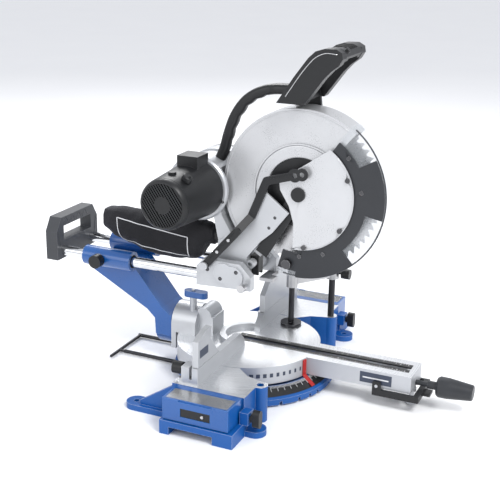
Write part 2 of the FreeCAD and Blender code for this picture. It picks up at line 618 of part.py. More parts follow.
# ---- rails, rear grip and carriage ----------------------------------------------------------
CARRIAGE_Y1 = 84.0
CHEEK_Y0 = -34.0
CHEEK_Z0 = 204.0
END_Y0 = 410.0
LOCK_PIN_Y, LOCK_PIN_Z, LOCK_PIN_R = -24.0, 216.0, 4.0
HEAD_CLEAR_X = 50.6     # tip of the free lock pin, just clear of the head
STOP_PIVOT_X, STOP_PIVOT_Y = 64.0, -24.0
STOP_TOP = CHEEK_Z0 - GAP
STOP_T = 7.0


def rails():
    return Part.makeCompound([cyl_y(s * RAIL_X, RAIL_Z, RAIL_Y0, RAIL_Y1, RAIL_R) for s in (-1, 1)])


def rear_grip():
    """The frame that ties the rail ends together and serves as a grip."""
    frame = box(-REAR_GRIP_HALF, REAR_GRIP_HALF, END_Y0, END_Y0 + 28, RAIL_Z - 17, 290)
    window = box(-52, 52, END_Y0 - 1, END_Y0 + 29, RAIL_Z + 22, 270)
    shoulder = [prism_y([(s * REAR_GRIP_HALF, 262), (s * (REAR_GRIP_HALF + 1), 291),
                         (s * (REAR_GRIP_HALF - 18), 291)], END_Y0 - 1, END_Y0 + 29) for s in (-1, 1)]
    seats = [cyl_y(s * RAIL_X, RAIL_Z, END_Y0 - 1, RAIL_Y1, RAIL_R) for s in (-1, 1)]
    return cut(frame, window, *shoulder, *seats)


def carriage():
    cheek = prism_x([(CHEEK_Y0, CHEEK_Z0), (0, CHEEK_Z0), (CARRIAGE_Y1, CHEEK_Z0 - 4), (CARRIAGE_Y1, 240),
                     (70, 256), (-10, 256), (CHEEK_Y0, 232)], CHEEK_X0, CHEEK_X1)
    cross = box(-CHEEK_X0 - 2, CHEEK_X0 + 2, 66, CARRIAGE_Y1, CHEEK_Z0 - 4, 236)
    bosses = [cyl_y(s * RAIL_X, RAIL_Z, 66, CARRIAGE_Y1, 16) for s in (-1, 1)]
    link_boss = cyl_x(LINK_X + 1, -CHEEK_X0, LINK_Y, LINK_Z, 8)
    body = fuse(cheek, flip(cheek), cross, link_boss, *bosses)
    seats = [cyl_y(s * RAIL_X, RAIL_Z, RAIL_Y0, CARRIAGE_Y1 + 1, RAIL_R) for s in (-1, 1)]
    body = cut(body, cyl_x(-90, -CHEEK_X0 + 1, LOCK_PIN_Y, LOCK_PIN_Z, LOCK_PIN_R + FIT), *seats)
    pivot = cyl_x(-CHEEK_X1, CHEEK_X1, PIVOT_Y, PIVOT_Z, PIVOT_R)
    return fuse(body, pivot, link_pin(), depth_stop_pivot())


def carriage_cover():
    """Kidney-shaped plate over the end of the pivot shaft."""
    plate = fuse(cyl_x(-CHEEK_X1 - 4, -CHEEK_X1, 4, PIVOT_Z, 22),
                 cyl_x(-CHEEK_X1 - 4, -CHEEK_X1, 24, PIVOT_Z + 6, 20))
    return plate


def depth_stop():
    """Swinging plate that stops the head early for trenching."""
    plate = box(12, STOP_PIVOT_X + 8, STOP_PIVOT_Y - 9, STOP_PIVOT_Y + 9, STOP_TOP - STOP_T, STOP_TOP)
    nose = box(12, 36, STOP_PIVOT_Y - 22, STOP_PIVOT_Y + 9, STOP_TOP - STOP_T, STOP_TOP)
    return cut(fuse(plate, nose), cyl_z(STOP_PIVOT_X, STOP_PIVOT_Y, 100, 300, 4 + FIT))


def depth_stop_pivot():
    return fuse(cyl_z(STOP_PIVOT_X, STOP_PIVOT_Y, STOP_TOP - STOP_T - 4, CHEEK_Z0 + 10, 4),
                cyl_z(STOP_PIVOT_X, STOP_PIVOT_Y, STOP_TOP - STOP_T - 5, STOP_TOP - STOP_T - GAP, 7))


def link_pin():
    return fuse(cyl_x(LINK_X - LINK_T - 1, -CHEEK_X0 - 2, LINK_Y, LINK_Z, LINK_PIN_R),
                cyl_x(LINK_X - LINK_T - 5, LINK_X - LINK_T - 0.5, LINK_Y, LINK_Z, 8))


def head_lock_pin():
    return fuse(cyl_x(-CHEEK_X1 - 12, -HEAD_CLEAR_X, LOCK_PIN_Y, LOCK_PIN_Z, LOCK_PIN_R),
                cyl_x(-CHEEK_X1 - 26, -CHEEK_X1 - 14, LOCK_PIN_Y, LOCK_PIN_Z, 8),
                cyl_x(-CHEEK_X1 - 15, -CHEEK_X1 - 10.5, LOCK_PIN_Y, LOCK_PIN_Z, 5))


node("rails", rails())
node("rear_grip", rear_grip())
node("carriage", carriage())
node("carriage_cover", carriage_cover())
node("depth_stop_plate", depth_stop())
node("head_lock_pin", head_lock_pin())

# ---- head casting ---------------------------------------------------------------------------
CHOP = 57.0
ARM_X0, ARM_FACE_T = -46.0, 4.5
ARM_OUTLINE = [(59, 250), (41, 265), (40, 295), (2, 328), (-52, 399), (-98, 364), (-65, 321),
               (-40, 299), (-12, 263), (-12, 225), (0, 212)]
ROOT_OUTLINE = [(0, 212), (24, 212), (54, 246), (50, 290), (23, 300), (-8, 262), (-12, 225)]
NECK_OUTLINE = [(50, 270), (64, 335), (74, 354), (50, 354), (46, 338), (23, 300), (10, 270)]
BARREL_R, BARREL_HALF = 24.0, 50.0
CLEAR_R = LOWER_GUARD_R + 3.5
CHUTE_X, CHUTE_Z, CHUTE_R = -12.0, 290.0, 18.0
STOP_SCREW_X, STOP_SCREW_Y = 24.0, -30.0
GLAND_X, GLAND_Z = 10.0, 400.0
BLOCK_R = 60.0
BLOCK_X1 = HOUSING_X0


def lifted(shape):
    """Turn a shape drawn with the head fully down to where it sits with the head up."""
    shape.rotate(V(0, PIVOT_Y, PIVOT_Z), X_AXIS, -CHOP)
    return shape


def stop_screw():
    return lifted(fuse(cyl_z(STOP_SCREW_X, STOP_SCREW_Y, STOP_TOP + GAP, 244, 4),
                       cyl_z(STOP_SCREW_X, STOP_SCREW_Y, 208, 213, 7)))


def bracket_bar():
    """The flat bracket that carries the pivot of the lower guard."""
    a = math.radians(300)
    d, n = V(0, math.cos(a), math.sin(a)), V(0, -math.sin(a), math.cos(a))
    bar = along(V(0, ARBOR_Y, ARBOR_Z), d, n, [(0, -15), (150, -13), (150, 13), (0, 15)],
                -LOWER_GUARD_X - BAND_T - 2.0, -LOWER_GUARD_X - BAND_T + 0.2)
    return fuse(bar, cyl_x(-LOWER_GUARD_X - BAND_T - 2.0, -LOWER_GUARD_X - BAND_T + 0.2,
                           ARBOR_Y, ARBOR_Z, 20))


def head_arm():
    face = prism_x(ARM_OUTLINE, ARM_X0, ARM_X0 + ARM_FACE_T)
    wedge = prism_x(ARM_OUTLINE, ARM_X0, -UPPER_GUARD_HALF).common(
        sector_x(96, 220, 290, 349, ARM_X0, -UPPER_GUARD_HALF))
    root = prism_x(ROOT_OUTLINE, ARM_X0, -ARM_X0)
    neck = prism_x(NECK_OUTLINE, -38, BLOCK_X1)
    barrel = cyl_x(-BARREL_HALF, BARREL_HALF, PIVOT_Y, PIVOT_Z, BARREL_R)
    block = cyl_x(MOTOR_FLANGE_X, BLOCK_X1, MOTOR_Y, MOTOR_Z, BLOCK_R)
    block = block.cut(cyl_x(-100, 100, ARBOR_Y, ARBOR_Z, CLEAR_R))
    lug = lifted(cyl_x(ARM_X0, -30, LOCK_PIN_Y, LOCK_PIN_Z, 9))
    stop_boss = lifted(cyl_z(STOP_SCREW_X, STOP_SCREW_Y, 214, 240, 8))
    gland = cyl_y(GLAND_X, GLAND_Z, 140, 172, 9)
    body = fuse(face, wedge, root, neck, barrel, block, lug, stop_boss, stop_screw(), gland)
    return cut(body,
               cyl_x(-90, 90, PIVOT_Y, PIVOT_Z, PIVOT_R + FIT),
               lifted(cyl_x(ARM_X0 - 1, -34, LOCK_PIN_Y, LOCK_PIN_Z, LOCK_PIN_R + 0.6)),
               cyl_x(MOTOR_FLANGE_X - 1, -8, MOTOR_Y, MOTOR_Z, 44),
               cyl_x(-10, BLOCK_X1 + 1, MOTOR_Y, MOTOR_Z, 16),
               cyl_y(CHUTE_X, CHUTE_Z, 0, 100, CHUTE_R + 0.3),
               bracket_bar())


def hull_x(r0, r1, x0, x1):
    """Two discs round the arbor and the motor axis, joined by their tangents."""
    dy, dz = MOTOR_Y - ARBOR_Y, MOTOR_Z - ARBOR_Z
    base = math.degrees(math.atan2(dz, dy))
    spread = math.degrees(math.acos((r0 - r1) / math.hypot(dy, dz)))
    corners = [polar(ARBOR_Y, ARBOR_Z, r0, base + spread), polar(ARBOR_Y, ARBOR_Z, r0, base - spread),
               polar(MOTOR_Y, MOTOR_Z, r1, base - spread), polar(MOTOR_Y, MOTOR_Z, r1, base + spread)]
    return fuse(prism_x(corners, x0, x1), cyl_x(x0, x1, ARBOR_Y, ARBOR_Z, r0),
                cyl_x(x0, x1, MOTOR_Y, MOTOR_Z, r1))


COVER_X = HOUSING_X1 - 8
SHAFT_R, ROTOR_SHAFT_R = 8.0, 6.0
BEARING_R = 16.0
BUTTON_R = 7.0
BUTTON_Y, BUTTON_Z = -70.0, 420.0


def belt_housing():
    shell = hull_x(HOUSING_R0, HOUSING_R1, HOUSING_X0, COVER_X)
    room = hull_x(HOUSING_R0 - HOUSING_WALL, HOUSING_R1 - HOUSING_WALL, HOUSING_X0 + HOUSING_WALL, 100)
    boss = cyl_x(UPPER_GUARD_HALF, HOUSING_X0 + HOUSING_WALL, ARBOR_Y, ARBOR_Z, HOUSING_R0 - 4)
    return cut(fuse(shell.cut(room), boss),
               cyl_x(20, 100, ARBOR_Y, ARBOR_Z, BEARING_R),
               cyl_x(20, 100, MOTOR_Y, MOTOR_Z, BEARING_R))


def belt_cover():
    cover = hull_x(HOUSING_R0, HOUSING_R1, COVER_X, HOUSING_X1)
    return cut(cover, cyl_x(COVER_X - 1, HOUSING_X1 + 1, BUTTON_Y, BUTTON_Z, BUTTON_R + FIT),
               hull_x(HOUSING_R0 - 6, HOUSING_R1 - 6, COVER_X - 1, COVER_X + 3))


def upper_guard():
    a0, a1 = -60, 130
    rim = sector_x(UPPER_GUARD_R - GUARD_WALL, UPPER_GUARD_R, a0, a1, -UPPER_GUARD_HALF, UPPER_GUARD_HALF)
    left = sector_x(GUARD_OPEN_R, UPPER_GUARD_R, a0, a1, -UPPER_GUARD_HALF, -UPPER_GUARD_HALF + GUARD_WALL)
    right = sector_x(30, UPPER_GUARD_R, a0, a1, UPPER_GUARD_HALF - GUARD_WALL, UPPER_GUARD_HALF)
    raised = sector_x(GUARD_OPEN_R, 92, -5, a1, -UPPER_GUARD_HALF - 2.5, -UPPER_GUARD_HALF)
    return fuse(rim, left, right, raised)


node("head_arm", head_arm())
node("belt_housing", belt_housing())
node("belt_cover", belt_cover())
node("upper_guard", upper_guard())

# ---- blade, arbor and drive -------------------------------------------------------------------
FLANGE_R = 30.0


def blade():
    points = []
    for i in range(BLADE_TEETH):
        a = 360.0 * i / BLADE_TEETH
        for r, shift in ((BLADE_R, 0), (BLADE_R - 9, 0.7), (BLADE_R - 9, 2.2), (BLADE_R - 2, 4.6)):
            y, z = polar(ARBOR_Y, ARBOR_Z, r, a + shift)
            points.append((y, z))
    body = prism_x(points, -BLADE_T / 2, BLADE_T / 2)
    return body.cut(cyl_x(-10, 10, ARBOR_Y, ARBOR_Z, BORE_R))


def flanges():
    h = BLADE_T / 2
    inner = fuse(cyl_x(h, h + 7, ARBOR_Y, ARBOR_Z, FLANGE_R), cyl_x(-h, h, ARBOR_Y, ARBOR_Z, BORE_R))
    outer = cyl_x(-h - 6, -h, ARBOR_Y, ARBOR_Z, FLANGE_R)
    bore = cyl_x(-30, 30, ARBOR_Y, ARBOR_Z, SHAFT_R)
    return Part.makeCompound([cut(inner, bore), cut(outer, bore)])


def arbor_shaft():
    return cyl_x(-BLADE_T / 2 - 6, PULLEY_X1 + 2, ARBOR_Y, ARBOR_Z, SHAFT_R)


def hexagon(r):
    return [polar(ARBOR_Y, ARBOR_Z, r, 60 * i) for i in range(6)]


def driven_pulley():
    return cyl_x(PULLEY_X0, PULLEY_X1, ARBOR_Y, ARBOR_Z, DRIVEN_R)


def drive_pulley():
    return cyl_x(PULLEY_X0, PULLEY_X1, MOTOR_Y, MOTOR_Z, DRIVE_R)


def arbor_bolt():
    x1 = -BLADE_T / 2 - 6
    return fuse(prism_x(hexagon(10), x1 - 9, x1 - 2), cyl_x(x1 - 2.5, x1, ARBOR_Y, ARBOR_Z, 14))


def bearing(x0, x1, y, z, bore_r):
    return cyl_x(x0, x1, y, z, BEARING_R).cut(cyl_x(x0 - 1, x1 + 1, y, z, bore_r + FIT))


def belt():
    x0, x1 = PULLEY_X0 + 1, PULLEY_X1 - 1
    outer = hull_x(DRIVEN_R + BELT_T, DRIVE_R + BELT_T, x0, x1)
    return outer.cut(hull_x(DRIVEN_R + 0.3, DRIVE_R + 0.3, x0 - 1, x1 + 1))


def rotor():
    shaft = cyl_x(-168, PULLEY_X1 + 2, MOTOR_Y, MOTOR_Z, ROTOR_SHAFT_R)
    core = cyl_x(-130, -62, MOTOR_Y, MOTOR_Z, 26)
    collector = cyl_x(-158, -138, MOTOR_Y, MOTOR_Z, 15)
    return fuse(shaft, core, collector)


def fan():
    disc = cyl_x(-34, -30, MOTOR_Y, MOTOR_Z, 40)
    hub = cyl_x(-34, -14, MOTOR_Y, MOTOR_Z, 14)
    vanes = []
    for i in range(9):
        vane = box(-31, -16, MOTOR_Y - 1.2, MOTOR_Y + 1.2, MOTOR_Z + 12, MOTOR_Z + 39)
        vane.rotate(V(0, MOTOR_Y, MOTOR_Z), X_AXIS, 40 * i)
        vanes.append(vane)
    return fuse(disc, hub, *vanes)


def motor_housing():
    outer = cone_x(MOTOR_CAP_X, MOTOR_FLANGE_X - 7, MOTOR_Y, MOTOR_Z, MOTOR_R0, MOTOR_R1)
    room = cone_x(MOTOR_CAP_X + 10, MOTOR_FLANGE_X - 6, MOTOR_Y, MOTOR_Z, MOTOR_R0 - 4, MOTOR_R1 - 4)
    seat = cyl_x(MOTOR_CAP_X - 1, MOTOR_CAP_X + 11, MOTOR_Y, MOTOR_Z, BEARING_R)
    brush = cyl_z(-148, MOTOR_Y, MOTOR_Z - 80, MOTOR_Z + 80, 8)
    return cut(outer, room, seat, brush)


def motor_flange():
    ring = cyl_x(MOTOR_FLANGE_X - 7, MOTOR_FLANGE_X, MOTOR_Y, MOTOR_Z, MOTOR_FLANGE_R)
    return ring.cut(cyl_x(-60, 0, MOTOR_Y, MOTOR_Z, 44))


def stator():
    return cyl_x(-130, -62, MOTOR_Y, MOTOR_Z, 46).cut(cyl_x(-140, -50, MOTOR_Y, MOTOR_Z, 28))


def motor_end_cap():
    cap = cone_x(MOTOR_X0, MOTOR_CAP_X, MOTOR_Y, MOTOR_Z, MOTOR_R0 - 6, MOTOR_R0)
    slots = []
    for i in range(-3, 4):
        if i == 0:
            continue
        slot = box(MOTOR_X0 - 1, MOTOR_X0 + 7, MOTOR_Y + 11 * i - 2.5, MOTOR_Y + 11 * i + 2.5,
                   MOTOR_Z - 34 + 5 * abs(i), MOTOR_Z + 34 - 5 * abs(i))
        slots.append(slot)
    centre = cyl_x(MOTOR_X0, MOTOR_X0 + 8, MOTOR_Y, MOTOR_Z, 17)
    tilted = [s.rotate(V(0, MOTOR_Y, MOTOR_Z), X_AXIS, -35) or s for s in slots]
    return fuse(cut(cap, *tilted), centre)


def brush_caps():
    caps = []
    for s in (-1, 1):
        r_out = 56
        caps.append(cyl_z(-148, MOTOR_Y, min(s * 18, s * r_out) + MOTOR_Z,
                          max(s * 18, s * r_out) + MOTOR_Z, 8))
    return Part.makeCompound(caps)


def switch_box():
    body = box(-92, MOTOR_FLANGE_X - 8, MOTOR_Y - 24, MOTOR_Y + 20, MOTOR_Z + 40, MOTOR_Z + 74)
    return cut(body, cone_x(MOTOR_CAP_X, MOTOR_FLANGE_X - 7, MOTOR_Y, MOTOR_Z, MOTOR_R0 - 1, MOTOR_R1 - 1))


node("blade", blade())
node("blade_flanges", flanges())
node("arbor_shaft", fuse(arbor_shaft(), arbor_bolt(), driven_pulley()))
node("drive_belt", belt())
node("motor_rotor", fuse(rotor(), fan(), drive_pulley()))
node("bearings", Part.makeCompound([
    bearing(UPPER_GUARD_HALF + 1, HOUSING_X0 + HOUSING_WALL, ARBOR_Y, ARBOR_Z, SHAFT_R),
    bearing(MOTOR_CAP_X, MOTOR_CAP_X + 10, MOTOR_Y, MOTOR_Z, ROTOR_SHAFT_R),
    bearing(HOUSING_X0 - 8, HOUSING_X0 + HOUSING_WALL, MOTOR_Y, MOTOR_Z, ROTOR_SHAFT_R)]))
node("motor_stator", stator())
node("motor_housing", fuse(motor_housing(), switch_box(), motor_flange()))
node("motor_end_cap", motor_end_cap())
node("brush_caps", brush_caps())
node("spindle_lock_button", cyl_x(COVER_X - 2, HOUSING_X1 + 7, BUTTON_Y, BUTTON_Z, BUTTON_R))

# ---- lower guard and its link -----------------------------------------------------------------
BAND_X0 = -LOWER_GUARD_X - BAND_T + 0.2
DISC_X1 = BAND_X0 - 2.4
DISC_X0 = DISC_X1 - 2.5
BOLT_ANGLES = (158, 215, 262)
RIVET_ANGLES = (140, 172, 245, 268)
BAND_BOLT_R, RIVET_AT_R = 104.0, 124.0


def guard_bolt_set(r, x1):
    """The bolts that hold the disc to the band, at radius r of shank."""
    return [cyl_x(DISC_X0 - 3, x1, *polar(ARBOR_Y, ARBOR_Z, BAND_BOLT_R, a), r) for a in BOLT_ANGLES]


def rivet_set(r):
    return [cyl_x(BAND_X0 - 1.2, -LOWER_GUARD_X + GUARD_WALL, *polar(ARBOR_Y, ARBOR_Z, RIVET_AT_R, a), r)
            for a in RIVET_ANGLES]


def guard_shell():
    r, a0, a1 = LOWER_GUARD_R, GUARD_START, GUARD_END
    rim = sector_x(r - GUARD_WALL, r, a0, a1, -LOWER_GUARD_X, LOWER_GUARD_X)
    left = sector_x(118, r, a0, a1, -LOWER_GUARD_X, -LOWER_GUARD_X + GUARD_WALL)
    right = sector_x(100, r, a0, a1, LOWER_GUARD_X - GUARD_WALL, LOWER_GUARD_X)
    return cut(fuse(rim, left, right), *rivet_set(2.5))


def guard_band():
    r0, r1 = 98, LOWER_GUARD_R
    parts = [sector_x(r0, 131, GUARD_START, 152, BAND_X0, -LOWER_GUARD_X),
             sector_x(r0, r1, 151, 191, BAND_X0, -LOWER_GUARD_X),
             sector_x(r0, 134, 190, 229, BAND_X0, -LOWER_GUARD_X),
             sector_x(r0, r1, 228, 271, BAND_X0, -LOWER_GUARD_X),
             sector_x(118, 156, 270, GUARD_END, BAND_X0, -LOWER_GUARD_X)]
    return cut(fuse(*parts), *rivet_set(2.5), *guard_bolt_set(3, 0),
               cyl_x(-60, 0, *polar(ARBOR_Y, ARBOR_Z, ROLLER_AT_R, ROLLER_ANGLE), 4))


ROLLER_AT_R, ROLLER_ANGLE = 143.0, 278.0


def guard_disc():
    rel = [(9, -120), (9, -57), (19, -25), (38, 5), (40, 23), (-63, 95), (-100, 120),
           (-130, 120), (-130, -120)]
    clip = prism_x([(ARBOR_Y + y, ARBOR_Z + z) for y, z in rel], DISC_X0, DISC_X1)
    disc = cyl_x(DISC_X0, DISC_X1, ARBOR_Y, ARBOR_Z, CHEEK_R).common(clip)
    return cut(disc, cyl_x(-60, 0, ARBOR_Y, ARBOR_Z, GUARD_HUB_R + FIT), *guard_bolt_set(3, 0))


def guard_bolts():
    bolts = []
    for a in BOLT_ANGLES:
        y, z = polar(ARBOR_Y, ARBOR_Z, BAND_BOLT_R, a)
        bolts.append(fuse(cyl_x(DISC_X0 - 1, -LOWER_GUARD_X, y, z, 3), cyl_x(DISC_X0 - 3, DISC_X0, y, z, 5),
                          cyl_x(DISC_X1, BAND_X0, y, z, 5)))
    return bolts


def guard_rivets():
    heads = [cyl_x(BAND_X0 - 1.2, BAND_X0, *polar(ARBOR_Y, ARBOR_Z, RIVET_AT_R, a), 4) for a in RIVET_ANGLES]
    return [fuse(a, b) for a, b in zip(rivet_set(2.5), heads)]


def guard_hub_pin():
    return fuse(cyl_x(DISC_X0 - 0.6, BAND_X0, ARBOR_Y, ARBOR_Z, GUARD_HUB_R),
                cyl_x(DISC_X0 - 4, DISC_X0 - 0.5, ARBOR_Y, ARBOR_Z, 14))


def guard_roller():
    y, z = polar(ARBOR_Y, ARBOR_Z, ROLLER_AT_R, ROLLER_ANGLE)
    return fuse(cyl_x(BAND_X0 - 9, BAND_X0, y, z, 9.5), cyl_x(BAND_X0 - 1, -LOWER_GUARD_X, y, z, 4))


def guard_link():
    """Cranked flat bar from the carriage to the guard; it turns on the link pin."""
    half, x0, x1 = 8.0, LINK_X - LINK_T, LINK_X
    in0, in1 = -52.0, -48.0
    path = [(LINK_Y, LINK_Z), (-7, 325), (-23, 350), (-53, 424), (-110, 441)]
    parts = [cyl_x(x0, x1, LINK_Y, LINK_Z, half + 1)]

    def strip(a, b, xa, xb):
        d = V(0, b[0] - a[0], b[1] - a[1])
        length = d.Length
        d.normalize()
        n = V(0, -d.z, d.y)
        return along(V(0, a[0], a[1]), d, n, [(0, -half), (length, -half), (length, half), (0, half)], xa, xb)
    parts.append(strip(path[0], path[1], x0, x1))
    parts.append(cyl_x(x0, x1, *path[1], half))
    slope = [V(x0, 0, 0), V(x1, 0, 0), V(in1, 0, 0), V(in0, 0, 0)]
    d = V(0, path[2][0] - path[1][0], path[2][1] - path[1][1])
    n = V(0, -d.z, d.y)
    n.normalize()
    a = V(0, *path[1]) - n * half
    crank = face_of([a + slope[0], a + slope[1], a + slope[2] + d, a + slope[3] + d])
    parts.append(crank.extrude(n * 2 * half))
    parts.append(cyl_x(in0, in1, *path[2], half))
    parts.append(strip(path[2], path[3], in0, in1))
    parts.append(cyl_x(in0, in1, *path[3], half))
    parts.append(strip(path[3], path[4], in0, in1))
    parts.append(cyl_x(in0, in1, *path[4], half + 5))
    parts.append(cyl_x(in0, in1, path[4][0] - 14, path[4][1] + 3, half + 4))
    return cut(fuse(*parts), cyl_x(-100, 0, LINK_Y, LINK_Z, LINK_PIN_R + FIT),
               cyl_x(in0 - 1, in1 + 1, *path[4], 5),
               cyl_x(in0 - 1, in1 + 1, path[4][0] - 14, path[4][1] + 3, 5))


node("guard_shell", guard_shell())
node("guard_band", guard_band())
node("guard_disc", guard_disc())
node("guard_fasteners", Part.makeCompound(guard_bolts() + guard_rivets() + [guard_roller()]))
node("guard_bracket", fuse(bracket_bar(), guard_hub_pin()))
node("guard_link", guard_link())

# ---- handles ------------------------------------------------------------------------------------
LOOP_R = 13.0
BAR_Y, BAR_Z = -186.0, 668.0
TRIGGER_HALF, TRIGGER_T = 26.0, 11.0
BUTTON2_R = 5.0


def loop_points():
    s = HANDLE_HALF - 6
    low = HANDLE_Z + 12
    side = [V(s, HANDLE_Y - 12, low + 14), V(s, HANDLE_TOP_Y + 4, HANDLE_TOP_Z - 4), V(s - 10, BAR_Y, BAR_Z)]
    mirror = [V(-p.x, p.y, p.z) for p in reversed(side)]
    foot = [V(-s + 8, HANDLE_Y, low), V(s - 8, HANDLE_Y, low)]
    return side + mirror + foot


def loop_bar():
    points = loop_points()
    ring = rod(points + [points[0]], LOOP_R)
    return fuse(ring, Part.makeSphere(LOOP_R, points[0]))


def inward():
    """Unit vector from the top bar towards the middle of the loop."""
    d = V(0, HANDLE_TOP_Y - BAR_Y + 24, HANDLE_TOP_Z - BAR_Z - 36)
    d.normalize()
    return d


def trigger_block(u0, u1, half, w):
    d = inward()
    n = V(0, -d.z, d.y)
    return along(V(0, BAR_Y, BAR_Z), d, n, [(u0, -w), (u1, -w), (u1, w), (u0, w)], -half, half)


def handle_with_pockets():
    d = inward()
    start = V(0, BAR_Y, BAR_Z) - d * 1.5
    button_hole = Part.makeCylinder(BUTTON2_R + 0.3, 20, V(-34, start.y, start.z), d * -1)
    return cut(loop_bar(), trigger_block(-3, 20, TRIGGER_HALF + GAP, TRIGGER_T / 2 + GAP), button_hole)


def lock_off_button():
    d = inward()
    start = V(-34, BAR_Y, BAR_Z) - d * 5
    return Part.makeCylinder(BUTTON2_R, LOOP_R - 1, start, d * -1)


def carry_handle():
    bar = rod([V(CARRY_X, 78, 430), V(CARRY_X, 64, 452), V(CARRY_X, 44, 508), V(CARRY_X, -8, 578),
               V(CARRY_X, -36, 588), V(CARRY_X, HANDLE_Y, HANDLE_Z + 12)], CARRY_R)
    return cut(bar, cyl_x(-100, 100, MOTOR_Y, MOTOR_Z, BLOCK_R), loop_bar())


node("operating_handle", handle_with_pockets())
node("trigger", trigger_block(4, 21, TRIGGER_HALF, TRIGGER_T / 2))
node("lock_off_button", lock_off_button())
node("carry_handle", carry_handle())

# ---- dust chute, bag, lamp and cord gland ---------------------------------------------------------
BAG_Y0, BAG_Y1 = 84.0, 322.0
BAG_Z0, BAG_Z1 = 241.0, 322.0


def dust_chute():
    tube = cyl_y(CHUTE_X, CHUTE_Z, 24, 82, CHUTE_R)
    return tube.cut(cyl_y(CHUTE_X, CHUTE_Z, 20, 90, CHUTE_R - 2))


def dust_bag():
    body = box(BAG_X0, BAG_X1, BAG_Y0, BAG_Y1, BAG_Z0, BAG_Z1)
    body = body.makeFillet(14, [e for e in body.Edges if abs(e.tangentAt(e.FirstParameter).y) > 0.9])
    neck = cyl_y(CHUTE_X, CHUTE_Z, 68, BAG_Y0 + 1, CHUTE_R + 3)
    return cut(fuse(body, neck), cyl_y(CHUTE_X, CHUTE_Z, 60, 90, CHUTE_R))


def lamp_housing():
    body = box(-27, -5, -30, -12, 222, 262)
    return cut(body, box(-23, -9, -31, -22, 221, 228), cyl_x(-60, 60, PIVOT_Y, PIVOT_Z, BARREL_R))


node("dust_chute", dust_chute())
node("dust_bag", dust_bag())
node("lamp_housing", lamp_housing())

os.makedirs("parts", exist_ok=True)
for name, shape in NODES.items():
    shape.exportStep("parts/" + name + ".step")
    print(name, shape.isValid(), len(shape.Solids), round(shape.Volume / 1000, 1))
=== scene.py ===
import math

import bmesh
import bpy
from mathutils import Matrix, Vector, noise
from mathutils.bvhtree import BVHTree


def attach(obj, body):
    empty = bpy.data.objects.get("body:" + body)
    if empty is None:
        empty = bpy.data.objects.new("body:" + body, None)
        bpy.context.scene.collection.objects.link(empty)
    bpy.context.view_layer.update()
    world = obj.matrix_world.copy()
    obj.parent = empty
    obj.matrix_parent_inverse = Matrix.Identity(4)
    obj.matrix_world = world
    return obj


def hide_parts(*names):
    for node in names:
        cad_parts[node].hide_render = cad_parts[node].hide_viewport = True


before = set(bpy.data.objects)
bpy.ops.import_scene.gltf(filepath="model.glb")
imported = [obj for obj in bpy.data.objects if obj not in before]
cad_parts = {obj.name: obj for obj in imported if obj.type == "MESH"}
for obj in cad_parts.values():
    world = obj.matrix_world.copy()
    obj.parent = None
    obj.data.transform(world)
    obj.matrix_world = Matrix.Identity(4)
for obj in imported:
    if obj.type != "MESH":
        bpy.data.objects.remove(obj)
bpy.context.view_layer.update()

# Sliding mitre saw: +X is the operator's right, +Y away from the operator, +Z up.
# Lengths in this script are in millimetres and are scaled once, as a mesh is made.
MM = 0.001
ARBOR = (-114, 402)       # blade axis, as (y, z)
MOTOR = (97, 390)         # motor axis, as (y, z)
TABLE_Z = 72.0            # top of the table
BAG_MIDDLE = (-16, 281)   # middle of the filled bag, as (x, z)
BAG_NECK_Y = 88           # where the cloth leaves the collar
BAG_CELL = 5              # size of one cloth cell
BAG_STRETCH = 8           # the most that the cloth may move as it fills
BAG_FRAMES = 20
MIX_FACTOR, MIX_LOW, MIX_HIGH, MIX_COLOUR = 0, 6, 7, 2


# ---- finishes ---------------------------------------------------------------------------

class Wire:
    """One value inside a finish; sums on wires add the maths nodes."""

    def __init__(self, finish, socket):
        self.finish = finish
        self.socket = socket

    def maths(self, operation, *values):
        return self.finish.add("ShaderNodeMath", {"operation": operation}, values)

    def __add__(self, other):
        return self.maths("ADD", self, other)

    def __radd__(self, other):
        return self.maths("ADD", other, self)

    def __sub__(self, other):
        return self.maths("SUBTRACT", self, other)

    def __rsub__(self, other):
        return self.maths("SUBTRACT", other, self)

    def __mul__(self, other):
        return self.maths("MULTIPLY", self, other)

    def __rmul__(self, other):
        return self.maths("MULTIPLY", other, self)

    def above(self, limit, soft):
        """0 below the limit and 1 from soft above it."""
        ramp = (self - limit) * (1 / soft)
        return ramp.maths("MINIMUM", ramp.maths("MAXIMUM", ramp, 0), 1)


